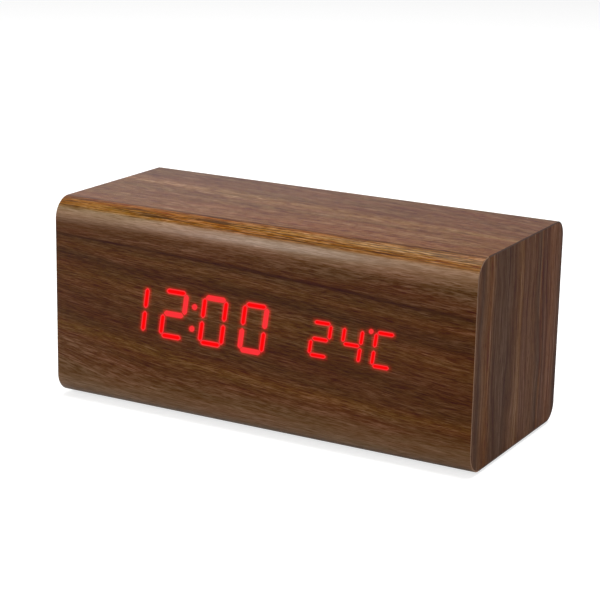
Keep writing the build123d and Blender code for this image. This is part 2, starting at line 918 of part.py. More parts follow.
def spring_points():
    """A point and a way for each quarter turn of a tapering coil along +X."""
    first_x = 2 * spring_wire_radius + spring_rise
    last_x = spring_length - spring_wire_radius - spring_tip_gap
    steps = round(spring_turns * arcs_per_turn)
    places = []
    for step in range(steps + 1):
        share = step / steps
        angle = 2 * math.pi * spring_turns * share
        radius = spring_base_radius + (spring_tip_radius - spring_base_radius) * share
        point = Vector(first_x + (last_x - first_x) * share,
                       radius * math.cos(angle), radius * math.sin(angle))
        spin = 2 * math.pi * spring_turns * radius
        taper = spring_tip_radius - spring_base_radius
        way = Vector(last_x - first_x,
                     taper * math.cos(angle) - spin * math.sin(angle),
                     taper * math.sin(angle) + spin * math.cos(angle))
        places.append((point, way.normalized()))
    return places


def make_spring():
    """A contact spring that stands on its plate at x = 0 and reaches to +X."""
    places = spring_points()
    forward = Vector(1, 0, 0)
    point, way = places[0]
    stub_end = Vector(2 * spring_wire_radius, point.Y - way.Y * spring_rise,
                      point.Z - way.Z * spring_rise)
    stub_start = Vector(0, stub_end.Y, stub_end.Z)
    edges = [Edge.make_line(stub_start, stub_end)]
    edges += arc_pair(stub_end, forward, point, way)
    for (start, start_way), (end, end_way) in zip(places, places[1:]):
        edges += arc_pair(start, start_way, end, end_way)
    tip, tip_way = places[-1]
    edges.append(Edge.make_line(tip, tip + tip_way * 2 * spring_wire_radius))
    path = Wire(edges)
    section = Plane(origin=stub_start, z_dir=forward) * RegularPolygon(
        spring_wire_radius, spring_wire_sides)
    return sweep(section, path=path)


def spring_least_gap():
    """The least free space between one turn of the coil and the next."""
    places = [point for point, way in spring_points()]
    return min((a - b).length for i, a in enumerate(places)
               for b in places[i + arcs_per_turn - 1:]) - 2 * spring_wire_radius


def make_battery_springs():
    """Each cell's flat end has a spring on the plate opposite its nub."""
    spring = make_spring()
    springs = []
    for height, side in nub_sides():
        turned = spring if side > 0 else mirror(spring, about=Plane.YZ)
        springs.append(Pos(contact_face(-side), cell_y, height) * turned)
    return group(springs)


def make_lead(start_x, height):
    """An insulated lead from a contact plate's tab, along the bay, into the main board."""
    y = bay_back - lead_radius - lead_gap
    path = FilletPolyline((start_x, y, height), (lead_end_x, y, height),
                          (lead_end_x, main_board_back, height), radius=lead_bend_radius)
    section = Plane(origin=(start_x, y, height), z_dir=(1, 0, 0)) * Circle(lead_radius)
    return sweep(section, path=path)


def make_black_lead():
    x, height = tab_places()[0]
    return make_lead(x + plate_thickness / 2, height)


def make_red_lead():
    x, height = tab_places()[1]
    return make_lead(x + plate_thickness / 2, height)


# Buttons and main board

def make_button(x):
    """A round cap with a flange that keeps it in the cover and a stem to its switch."""
    crown = cover_face + button_proud
    flange_top = cover_back - button_flange_gap
    flange_foot = flange_top - button_flange_thickness
    cap = rod(x, button_height, button_radius, flange_top, crown)
    cap = chamfer(cap.faces().sort_by(Axis.Y)[-1].edges(), button_edge_bevel)
    cap += rod(x, button_height, button_flange_radius, flange_foot, flange_top)
    return cap + rod(x, button_height, button_stem_radius, plunger_top, flange_foot)


def make_plunger(x):
    return rod(x, button_height, plunger_radius, switch_top - plunger_seat, plunger_top)


def make_switch_housing(x):
    """A square switch body with a bore for its plunger, deep enough for the travel."""
    outline = Pos(x, button_height) * RectangleRounded(
        switch_side, switch_side, switch_corner_radius)
    housing = slab(outline, main_board_face, switch_top)
    bore_floor = switch_top - plunger_seat - button_travel - plunger_end_gap
    return housing - rod(x, button_height, plunger_radius + plunger_gap,
                         bore_floor, switch_top + overrun)


def make_main_board():
    outline = Pos((board_left + board_right) / 2, case_middle) * RectangleRounded(
        main_board_length, main_board_height, pcb_corner_radius)
    board = slab(outline, main_board_back, main_board_face)
    return board - [rod(x, z, board_screw_radius + screw_hole_gap,
                        main_board_back, main_board_face) for x, z in board_hole_places()]


def make_main_board_screws():
    return group(make_screw(x, z, main_board_back, 1, board_screw_radius,
                            pcb_thickness + board_screw_bite - screw_hole_gap,
                            board_screw_head_radius, board_screw_head_height)
                 for x, z in board_hole_places())


def make_socket_shell():
    ring = socket_outline(0) - socket_outline(-socket_wall)
    return slab(ring, main_board_face, socket_mouth)


def make_socket_tongue():
    base = slab(socket_outline(-socket_wall), main_board_face,
                main_board_face + socket_base_height)
    half_width = socket_tongue_width / 2
    half_thickness = socket_tongue_thickness / 2
    return base + block(socket_x - half_width, socket_x + half_width,
                        main_board_face + socket_base_height,
                        socket_mouth - socket_tongue_setback,
                        socket_middle - half_thickness, socket_middle + half_thickness)


def make_buzzer():
    top = main_board_face + buzzer_height
    can = rod(buzzer_x, buzzer_z, buzzer_radius, main_board_face, top)
    return can - rod(buzzer_x, buzzer_z, buzzer_port_radius, top - buzzer_port_depth,
                     top + overrun)


def make_microphone():
    return rod(microphone_x, microphone_z, microphone_radius,
               main_board_face, main_board_face + microphone_height)


def make_thermistor():
    """A bead held up behind the vents on two wire legs."""
    bead_y = main_board_face + thermistor_height - thermistor_radius
    bead = Pos(thermistor_x, bead_y, thermistor_z) * Sphere(thermistor_radius)
    for side in (-1, 1):
        bead += rod(thermistor_x + side * thermistor_leg_spread / 2, thermistor_z,
                    thermistor_leg_radius, main_board_face, bead_y)
    return bead


def make_crystal():
    """A flat metal can with round ends on a wider rim."""
    middle = Pos(board_left + crystal_inset, case_middle + crystal_rise)
    rim = middle * SlotOverall(crystal_length, crystal_width)
    can = middle * SlotOverall(crystal_length - 2 * crystal_rim, crystal_width - 2 * crystal_rim)
    body = slab(rim, main_board_back - crystal_rim, main_board_back)
    return body + slab(can, main_board_back - crystal_height, main_board_back - crystal_rim)


def make_capacitor(x):
    """A round can that stands on the board, pinched in near its foot."""
    foot = main_board_back
    groove = foot - capacitor_groove_height
    waist = capacitor_radius - capacitor_groove_depth
    half = Polyline((0, foot), (capacitor_radius, foot), (capacitor_radius, groove),
                    (waist, groove - capacitor_groove_depth),
                    (capacitor_radius, groove - 2 * capacitor_groove_depth),
                    (capacitor_radius, foot - capacitor_height), (0, foot - capacitor_height),
                    close=True)
    return Pos(x, 0, board_top - capacitor_drop) * revolve(make_face(half), Axis.Y)


def make_capacitors():
    first_x = board_left + capacitor_inset
    return group(make_capacitor(x) for x in (first_x, first_x + capacitor_pitch))


# Ribbon between the boards

def ribbon_heights():
    return display_middle + ribbon_display_rise, board_bottom + ribbon_main_rise


def make_ribbon_plugs():
    """A plug on each board, with a pocket in which the ribbon ends."""
    high, low = ribbon_heights()
    plugs = []
    for z, board, side in ((high, display_pcb_back, 1), (low, main_board_back, -1)):
        mouth = board + side * plug_depth
        floor = mouth - side * plug_pocket_depth
        plug = block(ribbon_x - plug_width / 2, ribbon_x + plug_width / 2,
                     min(board, mouth), max(board, mouth), z - plug_height / 2, z + plug_height / 2)
        past = mouth + side * overrun
        plugs.append(plug - block(ribbon_x - plug_width / 2 + plug_wall,
                                  ribbon_x + plug_width / 2 - plug_wall,
                                  min(floor, past), max(floor, past),
                                  z - plug_height / 2 + plug_wall,
                                  z + plug_height / 2 - plug_wall))
    return group(plugs)


def make_ribbon_cable():
    """A flat cable that steps down from the display to the main board in one easy bend."""
    high, low = ribbon_heights()
    start = display_pcb_back + plug_depth - plug_pocket_depth
    end = main_board_back - plug_depth + plug_pocket_depth
    turn = (start + end) / 2
    path = FilletPolyline((start, high), (turn, high), (turn, low), (end, low),
                          radius=ribbon_bend_radius)
    return plank(trace(path, line_width=ribbon_thickness),
                 ribbon_x - ribbon_width / 2, ribbon_x + ribbon_width / 2)


def build_nodes():
    bars, dots = all_bars(), all_dots()
    set_x, up_x, down_x = button_places()
    return {
        "case_core": make_case_core(),
        "left_end_board": make_end_board(-1),
        "right_end_board": make_end_board(1),
        "wrap_veneer": make_wrap_veneer(bars, dots),
        "left_end_veneer": make_end_veneer(-1),
        "right_end_veneer": make_end_veneer(1),
        "foot_pads": make_foot_pads(),
        "diffuser_film": make_diffuser_film(),
        "segment_reflector": make_segment_reflector(bars, dots),
        "lit_segments": make_lit_segments(bars, dots),
        "display_board": make_display_board(),
        "led_chips": make_led_chips(bars, dots),
        "display_driver_chip": make_chip(driver_x, display_middle, display_pcb_back, 1,
                                         driver_length, driver_width, driver_height,
                                         driver_pin_count),
        "display_screws": make_display_screws(),
        "rear_cover": make_rear_cover(),
        "rear_cover_screws": make_rear_cover_screws(),
        "battery_door": make_battery_door(),
        "battery_plates": make_battery_plates(),
        "battery_springs": make_battery_springs(),
        "battery_cells": make_battery_cells(),
        "red_battery_lead": make_red_lead(),
        "black_battery_lead": make_black_lead(),
        "set_button": make_button(set_x),
        "up_button": make_button(up_x),
        "down_button": make_button(down_x),
        "set_plunger": make_plunger(set_x),
        "up_plunger": make_plunger(up_x),
        "down_plunger": make_plunger(down_x),
        "switch_housings": group(make_switch_housing(x) for x in button_places()),
        "main_board": make_main_board(),
        "main_board_screws": make_main_board_screws(),
        "power_socket_shell": make_socket_shell(),
        "power_socket_tongue": make_socket_tongue(),
        "buzzer": make_buzzer(),
        "microphone": make_microphone(),
        "thermistor": make_thermistor(),
        "crystal": make_crystal(),
        "controller_chip": make_chip(board_left + controller_inset,
                                     case_middle + controller_rise, main_board_back, -1,
                                     controller_length, controller_width, controller_height,
                                     controller_pin_count),
        "smoothing_capacitors": make_capacitors(),
        "ribbon_plugs": make_ribbon_plugs(),
        "ribbon_cable": make_ribbon_cable(),
    }


if __name__ == "__main__":
    os.makedirs("parts", exist_ok=True)
    for name, shape in build_nodes().items():
        export_step(shape, f"parts/{name}.step")
    print("spring turns, least gap in mm:", round(spring_least_gap(), 3))
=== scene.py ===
import logging
import math
from collections.abc import Callable, Iterator, Sequence
from contextlib import contextmanager
from dataclasses import dataclass
from enum import Enum
from typing import Optional

import bmesh
import bpy
import numpy as np
from mathutils import Matrix, Vector


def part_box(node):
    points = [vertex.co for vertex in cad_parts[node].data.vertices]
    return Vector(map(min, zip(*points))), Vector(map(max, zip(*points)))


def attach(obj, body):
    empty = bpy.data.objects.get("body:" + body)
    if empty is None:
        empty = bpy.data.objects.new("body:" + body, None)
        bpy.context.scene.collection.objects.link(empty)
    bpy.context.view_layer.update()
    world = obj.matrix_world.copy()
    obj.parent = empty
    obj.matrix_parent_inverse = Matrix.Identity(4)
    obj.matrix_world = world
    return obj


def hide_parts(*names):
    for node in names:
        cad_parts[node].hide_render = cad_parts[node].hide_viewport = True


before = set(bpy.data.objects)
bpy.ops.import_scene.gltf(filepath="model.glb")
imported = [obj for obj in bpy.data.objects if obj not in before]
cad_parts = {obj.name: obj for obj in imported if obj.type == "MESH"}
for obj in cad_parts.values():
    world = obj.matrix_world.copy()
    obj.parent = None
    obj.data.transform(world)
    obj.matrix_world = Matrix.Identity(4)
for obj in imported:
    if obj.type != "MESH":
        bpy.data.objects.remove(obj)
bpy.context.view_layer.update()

# A desk clock in a walnut-veneered block, dressed round its packed construction.
# Sizes in the dataclasses are millimetres, and MM turns them into Blender's metres.
# The clock faces -Y, X runs along it, and it stands on z = 0.

Piece = bpy.types.Object
Tree = bpy.types.NodeTree
Node = bpy.types.Node
Socket = bpy.types.NodeSocket
Value = Node | Socket | float
Part = bmesh.types.BMFace | bmesh.types.BMEdge
Rows = tuple[float, float, float, float]

MM = 0.001
# Points this close count as one.
CLOSE = 0.01 * MM
# A direction with this share along an axis runs along it, is square to it, or lies across it.
ALIGNED, SQUARE, ACROSS = 0.9, 0.99, 0.1
log = logging.getLogger("desk_clock")


class Side(Enum):
    """The two ends of the clock, by the sign of their X."""
    LEFT = -1
    RIGHT = 1


class Pick(Enum):
    """What an edit selects."""
    FACE = "FACE"
    EDGE = "EDGE"


# Small tools for meshes

def metres(*values: float) -> tuple[float, ...]:
    """Turn millimetres into metres.

    Args:
        values: Lengths in millimetres.

    Returns:
        The same lengths in metres.
    """
    return tuple(value * MM for value in values)


def clear_selection() -> None:
    """Deselect every object, as an operator acts on all that is selected."""
    if bpy.context.object and bpy.context.object.mode != "OBJECT":
        bpy.ops.object.mode_set(mode="OBJECT")
    bpy.ops.object.select_all(action="DESELECT")


def select_only(*pieces: Piece) -> None:
    """Select some objects alone, and make the first one active.

    Args:
        pieces: The objects.
    """
    clear_selection()
    for piece in pieces:
        piece.select_set(True)
    bpy.context.view_layer.objects.active = pieces[0]


def named(name: str) -> Piece:
    """Name the active object and its mesh.

    Args:
        name: The name.

    Returns:
        The active object.
    """
    piece = bpy.context.object
    piece.name = piece.data.name = name
    return piece


def added(name: str) -> Piece:
    """Name the primitive that an operator has just added, and settle its place in its mesh.

    Args:
        name: The piece's name.

    Returns:
        The new object, at the origin, unturned and unscaled.
    """
    bpy.ops.object.transform_apply(location=True, rotation=True, scale=True)
    return named(name)


def new_block(name: str, low: Sequence[float], high: Sequence[float]) -> Piece:
    """Add a block between two corners.

    Args:
        name: The piece's name.
        low: Its lowest corner, in millimetres.
        high: Its highest corner, in millimetres.

    Returns:
        The new object.
    """
    clear_selection()
    centre = [(a + b) / 2 * MM for a, b in zip(low, high)]
    size = [(b - a) * MM for a, b in zip(low, high)]
    bpy.ops.mesh.primitive_cube_add(size=1, location=centre, scale=size)
    return added(name)


def new_round(name: str, radius: float, depth: float, sides: int) -> Piece:
    """Add an upright round bar that stands on z = 0.

    Args:
        name: The piece's name.
        radius: Its radius, in millimetres.
        depth: Its height, in millimetres.
        sides: How many flat sides stand for its curve.

    Returns:
        The new object.
    """
    clear_selection()
    bpy.ops.mesh.primitive_cylinder_add(vertices=sides, radius=radius * MM, depth=depth * MM,
                                        location=(0, 0, depth / 2 * MM))
    return added(name)


def select_parts(piece: Piece, pick: Pick, wanted: Callable[[Part], bool]) -> None:
    """Enter edit mode with only the wanted faces or edges selected.

    Args:
        piece: The object to edit.
        pick: Whether faces or edges are selected.
        wanted: Tells which of them to select.
    """
    select_only(piece)
    bpy.ops.object.mode_set(mode="EDIT")
    bpy.ops.mesh.select_mode(type=pick.value)
    bpy.ops.mesh.select_all(action="DESELECT")
    mesh = bmesh.from_edit_mesh(piece.data)
    mesh.normal_update()
    for part in mesh.faces if pick is Pick.FACE else mesh.edges:
        if wanted(part):
            part.select_set(True)
    bmesh.update_edit_mesh(piece.data)


@contextmanager
def editing(piece: Piece, pick: Pick, wanted: Callable[[Part], bool]) -> Iterator[None]:
    """Keep the wanted faces or edges selected in edit mode while operators act on them.

    Args:
        piece: The object to edit.
        pick: Whether faces or edges are selected.
        wanted: Tells which of them to select.

    Returns:
        The context of the edit.
    """
    select_parts(piece, pick, wanted)
    yield
    bpy.ops.object.mode_set(mode="OBJECT")


def bevel(piece: Piece, wanted: Callable[[Part], bool], size: float, steps: int,
          profile: float = 0.5) -> None:
    """Bevel some edges of an object.

    Args:
        piece: The object.
        wanted: Tells which edges to bevel.
        size: The width of the bevel, in millimetres.
        steps: How many facets it has.
        profile: How full its section is.
    """
    with editing(piece, Pick.EDGE, wanted):
        bpy.ops.mesh.bevel(offset=size * MM, segments=steps, profile=profile, affect="EDGES")


def reach(edge: bmesh.types.BMEdge, axis: int) -> float:
    """Measure how far an edge runs along an axis.

    Args:
        edge: The edge.
        axis: 0, 1 or 2 for X, Y or Z.

    Returns:
        The distance between its ends along the axis, in metres.
    """
    return abs(edge.verts[0].co[axis] - edge.verts[1].co[axis])


def runs_deep(edge: bmesh.types.BMEdge) -> bool:
    """Tell whether an edge runs from front to rear.

    Args:
        edge: The edge.

    Returns:
        True if it lies along Y.
    """
    return reach(edge, 1) > ALIGNED * edge.calc_length()


def apply_modifier(piece: Piece, kind: str, **settings: object) -> None:
    """Add a modifier to an object and apply it.

    Args:
        piece: The object.
        kind: The modifier's type.
        settings: What to set on it.
    """
    select_only(piece)
    modifier = piece.modifiers.new(kind.lower(), kind)
    for name, value in settings.items():
        setattr(modifier, name, value)
    bpy.ops.object.modifier_apply(modifier=modifier.name)


def cut_away(piece: Piece, cutter: Piece) -> None:
    """Cut one object's space out of another, and remove the cutter.

    Args:
        piece: The object that is cut.
        cutter: The closed shape of the cut.
    """
    apply_modifier(piece, "BOOLEAN", operation="DIFFERENCE", solver="EXACT", object=cutter)
    bpy.data.objects.remove(cutter)


def join_all(name: str, pieces: Sequence[Piece]) -> Piece:
    """Join several objects into one.

    Args:
        name: The name of the joined object.
        pieces: The objects.

    Returns:
        The joined object.
    """
    select_only(*pieces)
    bpy.ops.object.join()
    return named(name)


def copy_of(piece: Piece, place: Matrix) -> Piece:
    """Copy an object with a mesh of its own, and settle its place in that mesh.

    Args:
        piece: The object to copy.
        place: Where the copy goes.

    Returns:
        The copy.
    """
    copy = bpy.data.objects.new(piece.name, piece.data.copy())
    copy.data.transform(place)
    bpy.context.scene.collection.objects.link(copy)
    return copy


def smooth_by_angle(piece: Piece, degrees: float) -> None:
    """Smooth an object's faces except across its sharp edges.

    Args:
        piece: The object.
        degrees: The angle past which an edge stays sharp.
    """
    select_only(piece)
    bpy.ops.object.shade_smooth_by_angle(angle=math.radians(degrees))


# Materials

def linear(colour: str) -> tuple[float, float, float, float]:
    """Turn an sRGB hex colour into linear values.

    Args:
        colour: Six hex digits after a hash mark.

    Returns:
        Red, green, blue and a full alpha.
    """
    shares = [int(colour[start:start + 2], 16) / 255 for start in (1, 3, 5)]
    lit = [share / 12.92 if share <= 0.04045 else ((share + 0.055) / 1.055) ** 2.4
           for share in shares]
    return lit[0], lit[1], lit[2], 1.0


def feed(tree: Tree, node: Node, inputs: dict) -> None:
    """Set or link some of a node's inputs.

    Args:
        tree: The node tree.
        node: The node.
        inputs: A value, or a node or socket to link, by the input's name or number.
    """
    for name, value in inputs.items():
        source = value.outputs[0] if isinstance(value, Node) else value
        if isinstance(source, Socket):
            tree.links.new(source, node.inputs[name])
        else:
            node.inputs[name].default_value = source


def add_node(tree: Tree, kind: str, inputs: Optional[dict] = None, **settings: object) -> Node:
    """Add a node with its settings, values and links.

    Args:
        tree: The node tree.
        kind: The node's type, without its ShaderNode prefix.
        inputs: What to set or link, by the input's name or number.
        settings: Attributes to set on the node.

    Returns:
        The new node.
    """
    node = tree.nodes.new("ShaderNode" + kind)
    for name, value in settings.items():
        setattr(node, name, value)
    feed(tree, node, inputs or {})
    return node


def worked(tree: Tree, operation: str, *values: Value) -> Node:
    """Work out one sum.

    Args:
        tree: The node tree.
        operation: The sum's kind, as a Math node names it.
        values: What it works on.

    Returns:
        The node that gives the result.
    """
    return add_node(tree, "Math", dict(enumerate(values)), operation=operation)


def scaled(tree: Tree, colour: Value | Sequence[float], share: Value) -> Node:
    """Multiply a whole colour by a value.

    Args:
        tree: The node tree.
        colour: The colour.
        share: The value.

    Returns:
        The node that gives the result.
    """
    return add_node(tree, "VectorMath", {0: colour, "Scale": share}, operation="SCALE")


def remap(tree: Tree, value: Value, span: Sequence[float] = (0.0, 1.0),
          onto: Sequence[float] = (0.0, 1.0)) -> Node:
    """Map one span of values onto another, and clamp what lies outside.

    Args:
        tree: The node tree.
        value: What gives the value.
        span: Where the values start and end.
        onto: What they become there.

    Returns:
        The node that gives the result.
    """
    return add_node(tree, "MapRange", {"Value": value, "From Min": span[0], "From Max": span[1],
                                       "To Min": onto[0], "To Max": onto[1]})


def colour_ramp(tree: Tree, value: Value, stops: Sequence[tuple[float, str]]) -> Node:
    """Turn a value into a colour.

    Args:
        tree: The node tree.
        value: What gives the value.
        stops: Values and their hex colours. Between them the colour changes evenly.

    Returns:
        The node that gives the colour.
    """
    low, high = stops[0][0], stops[-1][0]
    node = add_node(tree, "ValToRGB", {"Fac": remap(tree, value, (low, high))})
    elements = node.color_ramp.elements
    for place, _ in stops[1:-1]:
        elements.new((place - low) / (high - low))
    for element, (_, colour) in zip(elements, stops):
        element.color = linear(colour)
    return node


def noise(tree: Tree, place: Socket, scale: Sequence[float], detail: float,
          roughness: float = 0.5, seed: float = 0.0) -> Socket:
    """Add noise with cells of a given size.

    Args:
        tree: The node tree.
        place: Where the noise is read.
        scale: How many cells fit in a unit along each axis.
        detail: How many finer layers it has.
        roughness: How strong they are.
        seed: How far the noise is moved along each axis.

    Returns:
        The socket that gives the noise.
    """
    at = add_node(tree, "Mapping", {"Vector": place, "Location": [seed] * 3, "Scale": scale})
    return add_node(tree, "TexNoise", {"Vector": at, "Scale": 1.0, "Detail": detail,
                                       "Roughness": roughness}).outputs["Fac"]


def product(tree: Tree, *values: Value) -> Value:
    """Multiply several values.

    Args:
        tree: The node tree.
        values: What gives the values.

    Returns:
        The node that gives their product.
    """
    result = values[0]
    for value in values[1:]:
        result = worked(tree, "MULTIPLY", result, value)
    return result


def band(tree: Tree, value: Value, rows: Rows) -> Value:
    """Mark a band of values.

    Args:
        tree: The node tree.
        value: What gives the value.
        rows: Where the band begins, is full, is full no longer, and ends.

    Returns:
        The node that gives 1 in the band and 0 outside it.
    """
    return product(tree, remap(tree, value, rows[:2]), remap(tree, value, rows[2:], (1.0, 0.0)))


def calmed(tree: Tree, value: Value, rest: Value, kept: Value) -> Node:
    """Keep only a share of a value's swing about its rest.

    Args:
        tree: The node tree.
        value: What gives the value.
        rest: What the value swings about.
        kept: The share that is kept.

    Returns:
        The node that gives the calmed value.
    """
    return worked(tree, "MULTIPLY_ADD", worked(tree, "SUBTRACT", value, rest), kept, rest)


def relief(tree: Tree, height: Value, strength: float, depth: float) -> Node:
    """Turn a height into a slight unevenness of the skin.

    Args:
        tree: The node tree.
        height: What gives the height, from 0 to about 1.
        strength: How strongly it shows.
        depth: How deep it is, in millimetres.

    Returns:
        The node that gives the uneven normal.
    """
    return add_node(tree, "Bump", {"Height": height, "Strength": strength, "Distance": depth * MM})


def new_material(name: str) -> tuple[bpy.types.Material, Node]:
    """Make an empty material with its main shader.

    Args:
        name: The material's name.

    Returns:
        The material and its Principled shader.
    """
    material = bpy.data.materials.new(name)
    material.use_nodes = True
    tree = material.node_tree
    tree.nodes.clear()
    shader = add_node(tree, "BsdfPrincipled")
    add_node(tree, "OutputMaterial", {"Surface": shader})
    return material, shader


def dress(piece: Piece, *materials: bpy.types.Material) -> None:
    """Give an object its materials in place of those it has.

    Args:
        piece: The object.
        materials: Its materials in slot order.
    """
    while len(piece.data.materials) < len(materials):
        piece.data.materials.append(None)
    for place, material in enumerate(materials):
        piece.data.materials[place] = material
        piece.material_slots[place].material = material


@dataclass(frozen=True)
class Grain:
    """One layer of a wood's figure: noise drawn out along the grain, made into shades.

    The length and width are millimetres of the noise's own cells. A shade of 1
    leaves the colour as it is. The limits are those of the noise's useful range.
    """
    length: float
    width: float
    dark: float
    light: float
    limits: tuple[float, float] = (0.32, 0.68)
    detail: float = 3.0
    seed: float = 0.0
    roughness: float = 0.55

    def shade(self, tree: Tree, place: Socket, along_z: bool = False) -> Node:
        """Add the layer's nodes.

        Args:
            tree: The node tree.
            place: Millimetres along and across the grain, in X and Y or in Z and Y.
            along_z: Whether the grain runs along Z.

        Returns:
            The node that gives the shade.
        """
        scale = [1 / self.length, 1 / self.width, 1.0]
        if along_z:
            scale.reverse()
        fibres = noise(tree, place, scale, self.detail, self.roughness, self.seed)
        return remap(tree, fibres, self.limits, (self.dark, self.light))


@dataclass(frozen=True)
class Walnut:
    """Walnut veneer with a satin lacquer: bands of colour, with streaks and pores on them.

    The zones are bands of heartwood and sapwood, by their place across the grain.
    Contrast is how much of the streaks goes into the wood's own colour, and the
    sheen share how much goes into grey, as a share of the colour's lightness: that
    grey is painted sheen, standing in for the glossier streaks' reflection.
    """
    zones: tuple[tuple[float, str], ...]
    wave: Grain
    layers: tuple[Grain, ...]
    pores: Grain
    roughness: float
    specular: float
    contrast: float
    sheen_share: float
    bump_height: float
    bump_strength: float = 0.5
    darkest: float = 0.0006

    def figure(self, tree: Tree, grain: Socket, along_z: bool = False) -> tuple[Value, Value]:
        """Add the streaks and pores.

        Args:
            tree: The node tree.
            grain: Millimetres along and across the grain.
            along_z: Whether the grain runs along Z.

        Returns:
            The shade of them all, and that of the finest streaks and the pores.
        """
        shades = [layer.shade(tree, grain, along_z) for layer in self.layers]
        pores = self.pores.shade(tree, grain, along_z)
        return product(tree, *shades, pores), product(tree, shades[-1], pores)

    def skin(self, tree: Tree, base: Node, shade: Value, sheen_share: Value, fine: Value) -> dict:
        """Lighten and darken the wood along its grain, with painted sheen on the lighter streaks,
        and give it its lacquered skin.

        Args:
            tree: The node tree.
            base: The node that gives the wood's own colour.
            shade: How light the streaks are, about 1.
            sheen_share: How much of the shade goes into grey, as painted sheen.
            fine: The shade of what shows in relief.

        Returns:
            What to feed to the shader.
        """
        depth = worked(tree, "MULTIPLY_ADD", shade, self.contrast, 1 - self.contrast)
        lightness = add_node(tree, "RGBToBW", {"Color": base})
        # Painted sheen: grey added on the lighter streaks and taken off the darker ones, for their
        # gloss.
        haze = product(tree, worked(tree, "SUBTRACT", shade, 1.0), sheen_share, lightness)
        hazed = add_node(tree, "VectorMath", {0: scaled(tree, base, depth), 1: haze},
                         operation="ADD")
        return {
            "Base Color": add_node(tree, "VectorMath", {0: hazed, 1: [self.darkest] * 3},
                                   operation="MAXIMUM"),
            "Normal": relief(tree, fine, self.bump_strength, self.bump_height),
            "Roughness": self.roughness, "Specular IOR Level": self.specular}


